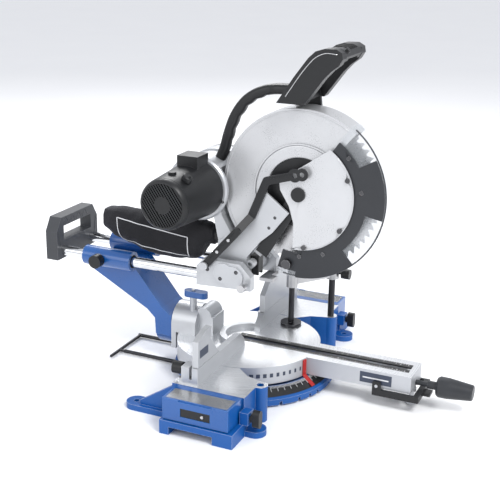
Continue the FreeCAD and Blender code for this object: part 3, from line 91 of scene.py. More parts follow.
class Finish:
    """A material, its shader and the nodes that drive it."""

    def __init__(self, name, **constants):
        self.material = bpy.data.materials.new(name)
        self.material.use_nodes = True
        self.tree = self.material.node_tree
        self.shader = self.tree.nodes["Principled BSDF"]
        for socket, value in constants.items():
            self.shader.inputs[socket.replace("_", " ")].default_value = value
        self.place = self.add("ShaderNodeTexCoord", output="Object")

    def add(self, kind, settings=None, values=(), output=0):
        node = self.tree.nodes.new(kind)
        for key, value in (settings or {}).items():
            setattr(node, key, value)
        for key, value in values.items() if isinstance(values, dict) else enumerate(values):
            if isinstance(value, Wire):
                self.tree.links.new(value.socket, node.inputs[key])
            else:
                node.inputs[key].default_value = value
        return Wire(self, node.outputs[output])

    def stretched(self, x, y, z):
        return self.add("ShaderNodeVectorMath", {"operation": "MULTIPLY"}, (self.place, (x, y, z)))

    def speckle(self, size, detail=2.0, where=None):
        """Cloudy grain, size millimetres across."""
        values = {"Vector": where or self.place, "Scale": 1 / (size * MM), "Detail": detail}
        return self.add("ShaderNodeTexNoise", None, values, output="Fac")

    def part_of(self, axis):
        return self.add("ShaderNodeSeparateXYZ", None, (self.place,), output=axis)

    def facing(self, axis):
        normal = self.add("ShaderNodeNewGeometry", output="Normal")
        return self.add("ShaderNodeSeparateXYZ", None, (normal,), output=axis)

    def edges(self, radius):
        """Rises from 0 on flats to 1 along sharp edges."""
        rounded = self.add("ShaderNodeBevel", {"samples": 4}, {"Radius": radius * MM})
        flat = self.add("ShaderNodeNewGeometry", output="Normal")
        dot = self.add("ShaderNodeVectorMath", {"operation": "DOT_PRODUCT"}, (rounded, flat), output="Value")
        return (1 - dot).above(0.02, 0.2)

    def blend(self, mask, low, high):
        """Colour low where the mask is 0 and high where it is 1."""
        return self.add("ShaderNodeMix", {"data_type": "RGBA", "clamp_factor": True},
                        {MIX_FACTOR: mask, MIX_LOW: low, MIX_HIGH: high}, output=MIX_COLOUR)

    def drive(self, socket, wire):
        self.tree.links.new(wire.socket, self.shader.inputs[socket])

    def relief(self, height, depth, strength=1.0):
        """Raises the surface by height times depth millimetres."""
        bump = self.add("ShaderNodeBump", None,
                        {"Height": height, "Distance": depth * MM, "Strength": strength})
        self.drive("Normal", bump)


def rgb(r, g, b):
    """A colour from its everyday 0 to 255 values."""
    return tuple(c / 255 / 12.92 if c <= 10 else ((c / 255 + 0.055) / 1.055) ** 2.4
                 for c in (r, g, b)) + (1,)


def paint(name, colour, worn_and_highlight_colour, roughness, metallic, coat, peel):
    """Sprayed paint on a casting: soft patches, fine peel, edges brightened partly as wear and partly as
    painted highlight.
    """
    f = Finish(name, Metallic=metallic, Coat_Weight=coat, Coat_Roughness=0.12)
    patches = f.speckle(60, 3)
    fine = f.speckle(1.6, 3)
    darker = tuple(c * 0.82 for c in colour[:3]) + (1,)
    body = f.blend(patches, darker, colour)
    # Edges lightened towards a lighter tint: partly paint wear, partly painted highlight.
    edge_wear_and_highlight = f.edges(1.2) * (0.25 + 0.6 * f.speckle(7, 4))
    f.drive("Base Color", f.blend(edge_wear_and_highlight, body, worn_and_highlight_colour))
    f.drive("Roughness", roughness + (fine - 0.5) * 0.16 + (patches - 0.5) * 0.1)
    f.relief(fine + 0.6 * f.speckle(5, 2), peel)
    return f


def moulded(name, colour, rubbed_and_highlight_colour, roughness, grain, depth):
    """Moulded plastic: fine leather-like grain, edges a little lighter and shinier, partly as rubbing and
    partly as painted highlight.
    """
    f = Finish(name, Specular_IOR_Level=0.45)
    dots = f.add("ShaderNodeTexVoronoi", {"feature": "SMOOTH_F1"},
                 {"Vector": f.place, "Scale": 1 / (grain * MM)}, output="Distance")
    patches = f.speckle(35, 3)
    # Edges lightened: partly rubbing wear, partly painted highlight.
    edge_wear_and_highlight = f.edges(1.5) * (0.4 + 0.5 * f.speckle(6, 3))
    tone = f.blend(patches, tuple(c * 0.75 for c in colour[:3]) + (1,), colour)
    f.drive("Base Color", f.blend(edge_wear_and_highlight, tone, rubbed_and_highlight_colour))
    f.drive("Roughness", roughness + (patches - 0.5) * 0.14 - edge_wear_and_highlight * 0.12)
    f.relief(dots + 0.5 * f.speckle(grain * 2.2, 2), depth)
    return f


def bare_metal(name, colour, roughness, along, streak):
    """Ground or drawn metal: streaks that run one way, with faint stains."""
    f = Finish(name, Metallic=1.0)
    lines = f.speckle(streak, 3, f.stretched(*along))
    stain = f.speckle(25, 4)
    # Edges blended towards bright grey: partly wear, partly painted highlight.
    edge = f.edges(0.8)
    dull = tuple(c * 0.7 for c in colour[:3]) + (1,)
    f.drive("Base Color", f.blend(edge * 0.6, f.blend(stain, dull, colour), (0.9, 0.9, 0.9, 1)))
    f.drive("Roughness", roughness + (lines - 0.5) * 0.18 + (stain - 0.5) * 0.1)
    f.relief(lines, 0.03)
    return f


def machined_casting(name, colour, side_metallic):
    """Silver casting whose flat top is turned bright: rings round the middle, grain on the sides."""
    f = Finish(name)
    spread = f.add("ShaderNodeVectorMath", {"operation": "LENGTH"}, (f.stretched(1, 1, 0),), output="Value")
    rings = f.add("ShaderNodeTexNoise", {"noise_dimensions": "1D"},
                  {"W": spread, "Scale": 900.0, "Detail": 3.0}, output="Fac")
    top = f.facing("Z").above(0.95, 0.04) * f.part_of("Z").above(0.0705, 0.0005)
    grain = f.speckle(1.8, 3)
    patches = f.speckle(70, 3)
    # Edges lightened to bright grey: partly wear, partly painted highlight.
    edge_wear_and_highlight = f.edges(1.2) * (0.3 + 0.5 * f.speckle(8, 3))
    cast = f.blend(patches, tuple(c * 0.84 for c in colour[:3]) + (1,), colour)
    bright = f.blend(rings, (0.66, 0.67, 0.69, 1), (0.86, 0.87, 0.88, 1))
    f.drive("Base Color", f.blend(edge_wear_and_highlight, f.blend(top, cast, bright), (0.92, 0.92, 0.93, 1)))
    f.drive("Metallic", side_metallic + top * (0.9 - side_metallic))
    f.drive("Roughness", 0.42 + (grain - 0.5) * 0.14 + (patches - 0.5) * 0.08
            - top * (0.12 - 0.2 * (rings - 0.5)))
    f.relief(grain * (1 - top) + rings * top * 0.25, 0.16)
    return f


def woven(name, colour, light):
    """Coarse black cloth: over-and-under threads with a soft sheen."""
    f = Finish(name, Sheen_Weight=0.25, Sheen_Roughness=0.5, Specular_IOR_Level=0.25)
    f.shader.inputs["Sheen Tint"].default_value = (0.5, 0.5, 0.55, 1)
    turned = 2 * math.pi / (1.1 * MM)
    x, y, z = (f.part_of(axis) * turned for axis in "XYZ")
    across = x.maths("SINE", x + y * 0.02)
    along = y.maths("SINE", y)
    up = z.maths("SINE", z)
    weave = (across * along + up * along + across * up) * 0.3 + 0.5
    fade = f.speckle(40, 4)
    f.drive("Base Color", f.blend(fade * 0.6 + weave * 0.25, colour, light))
    f.drive("Roughness", 0.78 + (weave - 0.5) * 0.15)
    f.relief(weave + 0.8 * f.speckle(3, 2), 0.18)
    return f


BLUE = paint("blue_paint", rgb(6, 86, 162), rgb(92, 150, 208), 0.3, 0.0, 0.6, 0.05)
SILVER = paint("silver_paint", rgb(196, 198, 201), rgb(238, 239, 241), 0.36, 0.55, 0.2, 0.12)
SILVER_METAL = bare_metal("cast_alloy", (0.56, 0.56, 0.57, 1), 0.34, (1, 1, 0.3), 1.4)
BOLT_BLACK = bare_metal("black_bolts", (0.11, 0.11, 0.115, 1), 0.32, (1, 1, 1), 2.0)
GUARD_WHITE = paint("guard_paint", rgb(206, 207, 209), rgb(240, 240, 241), 0.3, 0.45, 0.3, 0.04)
TABLE = machined_casting("table_casting", rgb(196, 198, 202), 0.55)
BASE_CAST = machined_casting("base_casting_top", rgb(6, 86, 162), 0.0)
BLACK = moulded("black_moulding", rgb(24, 25, 27), rgb(62, 63, 66), 0.42, 1.3, 0.06)
CHARCOAL = moulded("charcoal_moulding", rgb(46, 48, 52), rgb(92, 94, 98), 0.4, 1.6, 0.04)
DARK_GREY = moulded("dark_grey_moulding", rgb(62, 64, 68), rgb(112, 114, 118), 0.45, 1.5, 0.06)
GRIP_RUBBER = moulded("grip_rubber", rgb(20, 20, 21), rgb(44, 44, 46), 0.66, 1.0, 0.12)
RED = moulded("red_moulding", rgb(178, 22, 20), rgb(214, 84, 76), 0.32, 1.5, 0.03)
STEEL = bare_metal("ground_steel", (0.62, 0.62, 0.63, 1), 0.28, (0.15, 1, 1), 0.8)
DARK_STEEL = bare_metal("blackened_steel", (0.06, 0.06, 0.065, 1), 0.36, (1, 1, 0.2), 1.2)
CHROME = bare_metal("chrome_tube", (0.83, 0.84, 0.86, 1), 0.09, (1, 0.05, 1), 1.0)
COPPER = bare_metal("motor_winding", (0.5, 0.2, 0.09, 1), 0.4, (1, 0.2, 1), 0.9)
CLOTH = woven("bag_cloth", rgb(14, 14, 16), rgb(38, 38, 42))
PLATE_WHITE = paint("pale_print", rgb(220, 221, 224), rgb(240, 240, 240), 0.45, 0.0, 0.0, 0.02)
PANEL_GREY = paint("panel_grey", rgb(58, 66, 84), rgb(96, 104, 120), 0.4, 0.1, 0.1, 0.03)


def clear_shell():
    """Smoked clear plastic with faint scratches."""
    f = Finish("clear_moulding", Roughness=0.12, Alpha=0.16)
    scratch = f.speckle(9, 5, f.stretched(1, 1, 0.2))
    f.drive("Base Color", f.blend(scratch, rgb(196, 202, 208), rgb(236, 239, 242)))
    f.drive("Roughness", 0.08 + scratch * 0.12)
    f.relief(scratch, 0.05)
    return f


CLEAR = clear_shell()

NODE_FINISHES = {
    BASE_CAST: ["base_casting"],
    BLUE: ["left_wing", "right_wing", "bevel_arm", "bevel_lock_lever"],
    TABLE: ["turntable"],
    SILVER: ["carriage_cover", "bevel_trunnion", "lower_fence", "left_upper_fence", "right_upper_fence",
             "head_arm", "carriage", "belt_housing"],
    GUARD_WHITE: ["upper_guard", "guard_disc"],
    BLACK: ["left_wing_knob", "right_wing_knob", "left_fence_knob", "right_fence_knob", "clamp_knob",
            "rail_lock_knob", "detent_lever", "motor_housing", "motor_end_cap", "brush_caps", "belt_cover",
            "guard_bracket", "guard_link", "operating_handle", "carry_handle", "dust_chute", "lamp_housing",
            "lock_off_button", "spindle_lock_button", "mitre_scale", "kerf_plates"],
    CHARCOAL: ["guard_band", "mitre_lock_grip"],
    DARK_GREY: ["rear_grip", "trigger"],
    RED: ["mitre_pointer"],
    STEEL: ["blade", "blade_flanges", "arbor_shaft", "bearings", "head_lock_pin", "motor_rotor"],
    DARK_STEEL: ["rear_support", "clamp_post", "clamp_spindle"],
    CHROME: ["rails"],
    SILVER_METAL: ["clamp_arm", "depth_stop_plate"],
    BOLT_BLACK: ["guard_fasteners"],
    COPPER: ["motor_stator"],
    CLOTH: ["dust_bag"],
    GRIP_RUBBER: ["drive_belt", "rail_bushes"],
    CLEAR: ["guard_shell"],
}
ROUNDED = {"blade": 0.0, "mitre_scale": 0.15, "kerf_plates": 0.3, "guard_shell": 0.0, "rails": 0.4,
           "base_casting": 1.4, "bevel_arm": 2.0, "turntable": 1.2, "head_arm": 1.6, "carriage": 1.5,
           "left_wing": 1.4, "right_wing": 1.4, "operating_handle": 3.0, "upper_guard": 1.6}


def round_edges(thing, width):
    """Welds the mesh's split corners, rounds its edges and evens out its shading."""
    weld = thing.modifiers.new("weld", "WELD")
    weld.merge_threshold = 0.00002
    if width > 0:
        bevel = thing.modifiers.new("edges", "BEVEL")
        bevel.width = width * MM
        bevel.segments = 2
        bevel.limit_method = "ANGLE"
        bevel.angle_limit = math.radians(32)
        bevel.use_clamp_overlap = True
        bevel.harden_normals = True
    even = thing.modifiers.new("shading", "WEIGHTED_NORMAL")
    even.keep_sharp = True


def wear_finish(thing, finish):
    if not thing.data.materials:
        thing.data.materials.append(finish.material)
    for slot in thing.material_slots:
        slot.link = "OBJECT"
        slot.material = finish.material


for finish, names in NODE_FINISHES.items():
    for name in names:
        wear_finish(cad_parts[name], finish)
for name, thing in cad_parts.items():
    round_edges(thing, ROUNDED.get(name, 0.8))


# ---- making pieces ----------------------------------------------------------------------

def make(name, body, finish, shape, rounded=0.6, stands_for=()):
    """Turns a bmesh drawn in millimetres into a piece that rides on a body."""
    bmesh.ops.recalc_face_normals(shape, faces=shape.faces)
    mesh = bpy.data.meshes.new(name)
    shape.to_mesh(mesh)
    shape.free()
    mesh.transform(Matrix.Scale(MM, 4))
    for face in mesh.polygons:
        face.use_smooth = True
    thing = bpy.data.objects.new(name, mesh)
    bpy.context.collection.objects.link(thing)
    mesh.materials.append(finish.material)
    round_edges(thing, rounded)
    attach(thing, body)
    if stands_for:
        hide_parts(*stands_for)
    return thing


def add_prism(shape, near, far):
    """A solid between two outlines with as many points."""
    near = [shape.verts.new(point) for point in near]
    far = [shape.verts.new(point) for point in far]
    shape.faces.new(near)
    shape.faces.new(far)
    for i in range(len(near)):
        j = (i + 1) % len(near)
        shape.faces.new((near[i], near[j], far[j], far[i]))


def add_slab(shape, outline, x0, x1):
    """A plate whose outline is given as (y, z), from x0 to x1."""
    add_prism(shape, [(x0, y, z) for y, z in outline], [(x1, y, z) for y, z in outline])


def add_block(shape, low, high):
    outline = [(low[1], low[2]), (high[1], low[2]), (high[1], high[2]), (low[1], high[2])]
    add_slab(shape, outline, low[0], high[0])


def add_rings(shape, rings):
    """Skins a row of rings, each a list of as many points."""
    made = [[shape.verts.new(point) for point in ring] for ring in rings]
    for a, b in zip(made, made[1:]):
        for i in range(len(a)):
            j = (i + 1) % len(a)
            shape.faces.new((a[i], a[j], b[j], b[i]))
    shape.faces.new(made[0])
    shape.faces.new(made[-1])


def add_turned(shape, middle, axis, profile, steps=48):
    """A turned piece: profile is (radius, distance along the axis)."""
    axis = Vector(axis).normalized()
    side = axis.orthogonal().normalized()
    other = axis.cross(side)
    rings = []
    for radius, along in profile:
        ring = []
        for i in range(steps):
            a = 2 * math.pi * i / steps
            ring.append(Vector(middle) + axis * along + (side * math.cos(a) + other * math.sin(a)) * radius)
        rings.append(ring)
    add_rings(shape, rings)


def add_rod(shape, points, radius, steps=10):
    """A round rod along a row of points."""
    points = [Vector(p) for p in points]
    rings = []
    for i, point in enumerate(points):
        run = (points[min(i + 1, len(points) - 1)] - points[max(i - 1, 0)]).normalized()
        side = run.cross(Vector((1, 0.01, 0.02))).normalized()
        other = run.cross(side)
        turns = [2 * math.pi * k / steps for k in range(steps)]
        rings.append([point + (side * math.cos(a) + other * math.sin(a)) * radius for a in turns])
    add_rings(shape, rings)


def on_circle(middle, radius, degrees):
    a = math.radians(degrees)
    return middle[0] + radius * math.cos(a), middle[1] + radius * math.sin(a)


def add_screw(shape, place, out, radius):
    """A round-headed screw with a six-sided socket."""
    head = [(radius, -0.6), (radius, 1.0), (radius * 0.85, 1.9), (radius * 0.55, 2.3)]
    add_turned(shape, place, out, head, 20)
    add_turned(shape, place, out, [(radius * 0.5, 1.2), (radius * 0.5, 2.5), (radius * 0.3, 2.5)], 6)


def screws(name, body, finish, places, out, radius):
    shape = bmesh.new()
    for place in places:
        add_screw(shape, place, out, radius)
    make(name, body, finish, shape, 0.15)


# ---- handles ----------------------------------------------------------------------------

def smooth_path(points, steps):
    """Points along a soft curve through the given (y, z) points."""
    out = []
    for i in range(len(points) - 1):
        a, b = points[max(i - 1, 0)], points[i]
        c, d = points[i + 1], points[min(i + 2, len(points) - 1)]
        for k in range(steps):
            t = k / steps
            out.append(tuple(0.5 * (2 * q + (r - p) * t + (2 * p - 5 * q + 4 * r - s) * t * t
                                    + (3 * q - p - 3 * r + s) * t ** 3) for p, q, r, s in zip(a, b, c, d)))
    out.append(points[-1])
    return out


def operating_handle():
    side = [(-74, 577), (-108, 628), (-134, 663), (-147, 675), (-164, 680.5), (-186, 681), (-197, 675),
            (-199, 664), (-192, 652), (-178, 641), (-164, 626), (-148, 604), (-128, 577)]
    bar = [(-154, 662), (-152, 670), (-166, 680), (-187, 681), (-196, 676), (-199, 666), (-194, 657),
           (-182, 653)]
    over_trigger = [(-154, 662), (-152, 670), (-166, 680), (-187, 681), (-196, 676), (-199, 666), (-196, 661),
                    (-192.6, 665.5), (-184.5, 675.4), (-165, 659.8)]
    foot = [(-77, 579), (-92, 602), (-116, 606), (-122, 579)]
    bracket = [(-76, 590), (-122, 590), (-134, 500), (-122, 442), (-56, 442), (-64, 500)]
    shape = bmesh.new()
    for x in (-65, 43):
        add_slab(shape, side, x, x + 22)
    for x in (-46, 26.8):
        add_slab(shape, bar, x, x + 19.2)
    add_slab(shape, over_trigger, -26.8, 26.8)
    add_slab(shape, foot, -46, 46)
    add_slab(shape, bracket, 34.5, 42)
    make("operating_handle_shell", "head", BLACK, shape, 3.6, ["operating_handle"])
    trim = bmesh.new()
    line = smooth_path([(-92, 590), (-120, 632), (-140, 657), (-152, 667), (-168, 673), (-188, 672)], 5)
    for x in (-65.2, 65.2):
        add_rod(trim, [(x, y, z) for y, z in line], 0.9, 8)
    make("handle_trim_line", "head", STEEL, trim, 0)
    ribs = bmesh.new()
    rib = [(-160, 676.6), (-168, 681.6), (-187, 682.0), (-197, 677.2), (-192, 677), (-166, 678)]
    for k in range(7):
        x = -24 + 8 * k
        add_slab(ribs, rib, x - 1.6, x + 1.6)
    make("handle_grip_pad", "head", GRIP_RUBBER, ribs, 0.8)


def carry_handle():
    path = smooth_path([(74, 436), (62, 464), (53, 496), (40, 530), (18, 561), (-10, 580), (-42, 589),
                        (-84, 591)], 7)
    rings = []
    for i, (y, z) in enumerate(path):
        t = i / (len(path) - 1)
        before, after = path[max(i - 1, 0)], path[min(i + 1, len(path) - 1)]
        run = Vector((after[0] - before[0], after[1] - before[1])).normalized()
        inner = Vector((-run.y, run.x))
        lobe = 2.6 * abs(math.sin(t * math.pi * 9)) if 0.22 < t < 0.78 else 1.0
        thick_in, thick_out, half = 8.5 + lobe, 11.0, 11.5
        if t > 0.85:
            half = 14
        ring = []
        for k in range(20):
            a = 2 * math.pi * k / 20
            reach = thick_in if math.sin(a) > 0 else thick_out
            cx = math.copysign(abs(math.cos(a)) ** 0.7, math.cos(a)) * half
            cn = math.copysign(abs(math.sin(a)) ** 0.8, math.sin(a)) * reach
            ring.append((8 + cx, y + inner.x * cn, z + inner.y * cn))
        rings.append(ring)
    shape = bmesh.new()
    add_rings(shape, rings)
    make("carry_handle_grip", "head", BLACK, shape, 0, ["carry_handle"])


# ---- motor ------------------------------------------------------------------------------

def motor_end():
    y0, z0 = MOTOR
    shape = bmesh.new()
    rim = [(49.5, 0), (49.5, 4), (48, 9), (44.5, 13), (42.5, 13.5), (41.5, 12), (41.5, 6), (8, 6)]
    add_turned(shape, (-176, y0, z0), (-1, 0, 0), rim, 96)
    add_turned(shape, (-176, y0, z0), (-1, 0, 0), [(17, 5), (17, 12.5), (15.5, 13.6), (9, 14), (5, 13.2)], 48)
    lean = math.radians(-35)
    up = Vector((0, -math.sin(lean), math.cos(lean)))
    across = Vector((0, math.cos(lean), math.sin(lean)))
    for i in range(-8, 9):
        offset = 5.0 * i
        reach = math.sqrt(42.0 ** 2 - offset ** 2)
        spans = [(-reach, reach)]
        if abs(offset) <= 16:
            hub = math.sqrt(16.5 ** 2 - offset ** 2)
            spans = [(-reach, -hub), (hub, reach)]
        for a, b in spans:
            corners = []
            for along, side in ((a, -1.2), (b, -1.2), (b, 1.2), (a, 1.2)):
                point = Vector((0, y0, z0)) + up * along + across * (offset + side)
                corners.append((point.y, point.z))
            add_slab(shape, corners, -189, -181.5)
    make("motor_vent_cap", "head", BLACK, shape, 0.35, ["motor_end_cap"])
    ring = bmesh.new()
    add_turned(ring, (-38.2, y0, z0), (-1, 0, 0), [(60, 0), (65.5, 0.2), (65.5, 6), (62, 9.5), (58, 9.5)], 96)
    make("motor_flange_ring", "head", SILVER, ring, 0.5)
    screws("motor_screws", "head", DARK_STEEL,
           [(-46.8, *on_circle(MOTOR, 60, a)) for a in (20, 110, 200, 290)], (-1, 0, 0), 3.2)
    cover = bmesh.new()
    cap = [(10.5, -3), (10.5, 5), (9, 6.6), (4, 7)]
    add_turned(cover, (-148, y0 - 31, z0 + 45.5), (0, -0.55, 0.83), cap, 32)
    add_block(cover, (-149, y0 - 40, z0 + 47), (-147, y0 - 30, z0 + 52))
    make("brush_cap_cover", "head", BLACK, cover, 0.4)


# ---- guard ------------------------------------------------------------------------------

def guard_trim():
    rail = bmesh.new()
    add_rod(rail, [(-26, *on_circle(ARBOR, 167.6, a)) for a in range(128, 284, 3)], 1.7, 8)
    make("guard_rim_rail", "lower_guard", DARK_STEEL, rail, 0)
    lip = bmesh.new()
    inner = [on_circle(ARBOR, 93, a) for a in range(-20, 121, 5)]
    outer = [on_circle(ARBOR, 96, a) for a in range(120, -21, -5)]
    add_slab(lip, inner + outer, -30.2, -29.2)
    make("guard_ring_lip", "head", GUARD_WHITE, lip, 0.4)
    edge = bmesh.new()
    inner = [on_circle(ARBOR, 155.5, a) for a in range(-50, 126, 3)]
    outer = [on_circle(ARBOR, 157.5, a) for a in range(125, -51, -3)]
    add_slab(edge, inner + outer, -28.2, -26.8)
    make("guard_edge_bead", "head", GUARD_WHITE, edge, 0.4)
    seam = bmesh.new()
    add_rod(seam, [(-40.2, *on_circle(ARBOR, 108.4, a)) for a in range(132, 262, 3)], 0.8, 8)
    make("guard_disc_bead", "lower_guard", GUARD_WHITE, seam, 0)
    # Black sheet inside the guard: painted shade standing for the dark opening behind the link.
    opening_shade = bmesh.new()
    inner = [on_circle(ARBOR, 17, a) for a in range(-60, 301, 10)]
    outer = [on_circle(ARBOR, 68.5, a) for a in range(300, -61, -10)]
    add_slab(opening_shade, inner + outer, -26.8, -25.4)
    make("guard_opening_shade_sheet", "head", BLACK, opening_shade, 0)
    screws("link_screws", "link", STEEL, [(-84, 34, 279), (-84, 10, 306)], (-1, 0, 0), 3.6)
    ridge = bmesh.new()
    add_rod(ridge, [(-84.2, 52, 262), (-84.2, 0, 321)], 1.0, 8)
    add_rod(ridge, [(-52.2, -61, 430), (-52.2, -104, 443)], 0.9, 8)
    make("link_ridge", "link", BLACK, ridge, 0)
    screws("guard_pivot_bolts", "head", DARK_STEEL,
           [(-44, -58, 330), (-44, -70, 352)], (-1, 0, 0), 4.2)


# ---- table, scale, wings and labels -----------------------------------------------------------

def ticks():
    marks = bmesh.new()
    for side in (-1, 1):
        for k in range(66):
            y = -336 + 5 * k
            reach = 6.5 if k % 5 == 0 else 3.5
            x0 = side * 18.2
            x1 = side * (18.2 - reach)
            add_block(marks, (min(x0, x1), y - 0.45, TABLE_Z - 0.1), (max(x0, x1), y + 0.45, TABLE_Z + 0.12))
    make("kerf_plate_ticks", "table", PLATE_WHITE, marks, 0)
    degrees = bmesh.new()
    for k in range(-50, 51):
        a = math.radians(270 + k)
        run = Vector((math.cos(a), math.sin(a)))
        cross = Vector((-run.y, run.x)) * 0.35
        start, end = (153.5, 164) if k % 5 == 0 else (153.5, 158)
        corners = []
        for r, s in ((start, -1), (end, -1), (end, 1), (start, 1)):
            flat = run * r + cross * s
            corners.append((flat.x, flat.y, 33.6 - (r - 152) * 0.61 + 1.0))
        add_prism(degrees, corners, [(x, y, z - 0.9) for x, y, z in corners])
    make("mitre_scale_ticks", "base", PLATE_WHITE, degrees, 0)


def labels():
    arm = bmesh.new()
    add_block(arm, (-38.5, -318, 44), (-37.8, -254, 66))
    make("arm_plain_panel", "table", PANEL_GREY, arm, 0.3)
    stripe = bmesh.new()
    add_block(stripe, (-38.8, -312, 53.6), (-38.2, -260, 56.4))
    make("arm_panel_stripe", "table", PLATE_WHITE, stripe, 0)
    plate = bmesh.new()
    add_block(plate, (-240, -8.5, 124), (-206, -7.9, 140))
    make("fence_plain_panel", "left_fence", PANEL_GREY, plate, 0.2)
    for sign, side in ((-1, "left"), (1, "right")):
        inset = bmesh.new()
        x0, x1 = sorted((sign * 273, sign * 311.5))
        add_block(inset, (x0, -97.5, 70.5), (x1, 25.5, 72.0))
        make(side + "_wing_inset", side + "_extension", TABLE, inset, 0.4)
        recess = bmesh.new()
        x0, x1 = sorted((sign * 313.6, sign * 315.2))
        add_block(recess, (x0, -65.5, 40.5), (x1, -6.5, 56.5))
        make(side + "_wing_label", side + "_extension", BLACK, recess, 0.4)
        screws(side + "_wing_screw", side + "_extension", STEEL,
               [(sign * 315, -50, 48.5)], (sign, 0, 0), 3.4)
    band = bmesh.new()
    for k in range(9):
        a = 206 + 5.2 * k
        width = 1.6 - 0.12 * k
        corners = [on_circle((0, 0), radius, a + turn)
                   for radius, turn in ((148.6, -width), (148.6, width), (147.6, width), (147.6, -width))]
        add_prism(band, [(x, y, 50) for x, y in corners], [(x, y, 58) for x, y in corners])
    make("table_rim_marks", "table", PANEL_GREY, band, 0)


def fasteners():
    screws("carriage_screws", "slide", DARK_STEEL,
           [(-77.2, -4, 240), (-77.2, 30, 222), (-74, 60, 236)], (-1, 0, 0), 4.0)
    screws("belt_cover_screws", "head", STEEL,
           [(80, *on_circle(ARBOR, 34, a)) for a in (150, 270)]
           + [(80, *on_circle(MOTOR, 52, a)) for a in (-60, 70)] + [(80, -10, 446)], (1, 0, 0), 3.4)
    screws("rear_grip_screws", "slide", STEEL,
           [(-54.3, 435.9, 217), (54.3, 435.9, 217)], (0, 1, 0), 6.0)
    screws("kerf_screws", "table", STEEL,
           [(s * 12.5, y, 70.1) for s in (-1, 1) for y in (-320, -200, -80, 10)], (0, 0, 1), 2.1)


def rear_grip_struts():
    struts = bmesh.new()
    for k in range(8):
        x = -48 + 12 * k
        lean = 5 if k % 2 == 0 else -5
        add_rod(struts, [(x - lean, 411, 272.5), (x + lean, 411, 286)], 1.6, 8)
    add_rod(struts, [(-62, 410.5, 214), (-72, 410.5, 262)], 1.4, 8)
    add_rod(struts, [(62, 410.5, 214), (72, 410.5, 262)], 1.4, 8)
    make("rear_grip_struts", "slide", DARK_GREY, struts, 0)


# ---- dust bag ---------------------------------------------------------------------------

def bag_form():
    """The cut and sewn shape, a little smaller than the filled bag."""
    stations = [(70, -12, 290, 18.5, 18.5), (84, -12, 290, 19.5, 19.5), (92, -14, 287, 23, 27),
                (106, -16, 278, 25.5, 40), (150, -16, 275, 27, 44), (215, -16, 276, 27, 43),
                (255, -16, 283, 26.5, 37), (292, -16, 290, 25, 29), (316, -16, 297, 20, 20)]
    rings = []
    for y, x, z, wide, high in stations:
        square = 1.0 if y < 90 else 0.62
        ring = []
        for k in range(32):
            a = 2 * math.pi * k / 32
            ring.append((x + wide * math.copysign(abs(math.cos(a)) ** square, math.cos(a)), y,
                         z + high * math.copysign(abs(math.sin(a)) ** square, math.sin(a))))
        rings.append(ring)
    shape = bmesh.new()
    add_rings(shape, rings)
    return shape


def fill_bag(bag):
    """Blows the bag up as cloth, from its sewn shape, and keeps how far each point moves small."""
    start = [v.co.copy() for v in bag.data.vertices]
    cloth = bag.modifiers.new("cloth", "CLOTH")
    cloth.settings.quality = 5
    cloth.settings.use_pressure = True
    cloth.settings.uniform_pressure_force = 4.0
    cloth.settings.shrink_min = -0.06
    cloth.settings.effector_weights.gravity = 0
    cloth.point_cache.frame_start = 1
    cloth.point_cache.frame_end = BAG_FRAMES
    scene = bpy.context.scene
    for count in range(1, BAG_FRAMES + 1):
        scene.frame_set(count)
    moved = bag.evaluated_get(bpy.context.evaluated_depsgraph_get()).to_mesh()
    ends = [v.co.copy() for v in moved.vertices]
    bag.modifiers.remove(cloth)
    scene.frame_set(1)
    for vertex, a, b in zip(bag.data.vertices, start, ends):
        step = b - a
        if step.length > BAG_STRETCH * MM:
            step *= BAG_STRETCH * MM / step.length
        vertex.co = a + step


def wrinkle(bag):
    """Soft folds that gather at the neck and hang from the seams."""
    for vertex in bag.data.vertices:
        x, y, z = vertex.co / MM
        if y < BAG_NECK_Y:
            continue
        gather = max(0.0, 1 - (y - BAG_NECK_Y) / 60)
        fold = noise.noise(Vector((y * 0.045 + z * 0.03, z * 0.02, 3.0))) * 2.2
        fold += noise.noise(Vector((y * 0.02, z * 0.12, x * 0.05))) * 1.8 * (0.3 + gather)
        sag = -1.5 * math.sin(math.pi * min(1, (y - BAG_NECK_Y) / 230))
        out = Vector((x - BAG_MIDDLE[0], 0, z - BAG_MIDDLE[1]))
        if out.length > 1:
            vertex.co += out.normalized() * fold * MM
        vertex.co.z += sag * MM
    low, high = Vector((-48.5, 66, 230.0)) * MM, Vector((16.5, 325, 325)) * MM
    for vertex in bag.data.vertices:
        vertex.co = Vector(min(max(c, a), b) for c, a, b in zip(vertex.co, low, high))


def dust_bag():
    shape = bag_form()
    mesh = bpy.data.meshes.new("dust_bag_cloth")
    shape.to_mesh(mesh)
    shape.free()
    mesh.transform(Matrix.Scale(MM, 4))
    bag = bpy.data.objects.new("dust_bag_cloth", mesh)
    bpy.context.collection.objects.link(bag)
    remesh = bag.modifiers.new("even", "REMESH")
    remesh.mode = "VOXEL"
    remesh.voxel_size = BAG_CELL * MM
    even = bpy.data.meshes.new_from_object(bag.evaluated_get(bpy.context.evaluated_depsgraph_get()))
    bag.modifiers.clear()
    bag.data = even
    fill_bag(bag)
    wrinkle(bag)
    softer = bag.modifiers.new("softer", "SUBSURF")
    softer.levels = softer.render_levels = 1
    even.materials.clear()
    even.materials.append(CLOTH.material)
    for face in even.polygons:
        face.use_smooth = True
    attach(bag, "head")
    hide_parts("dust_bag")
    return bag


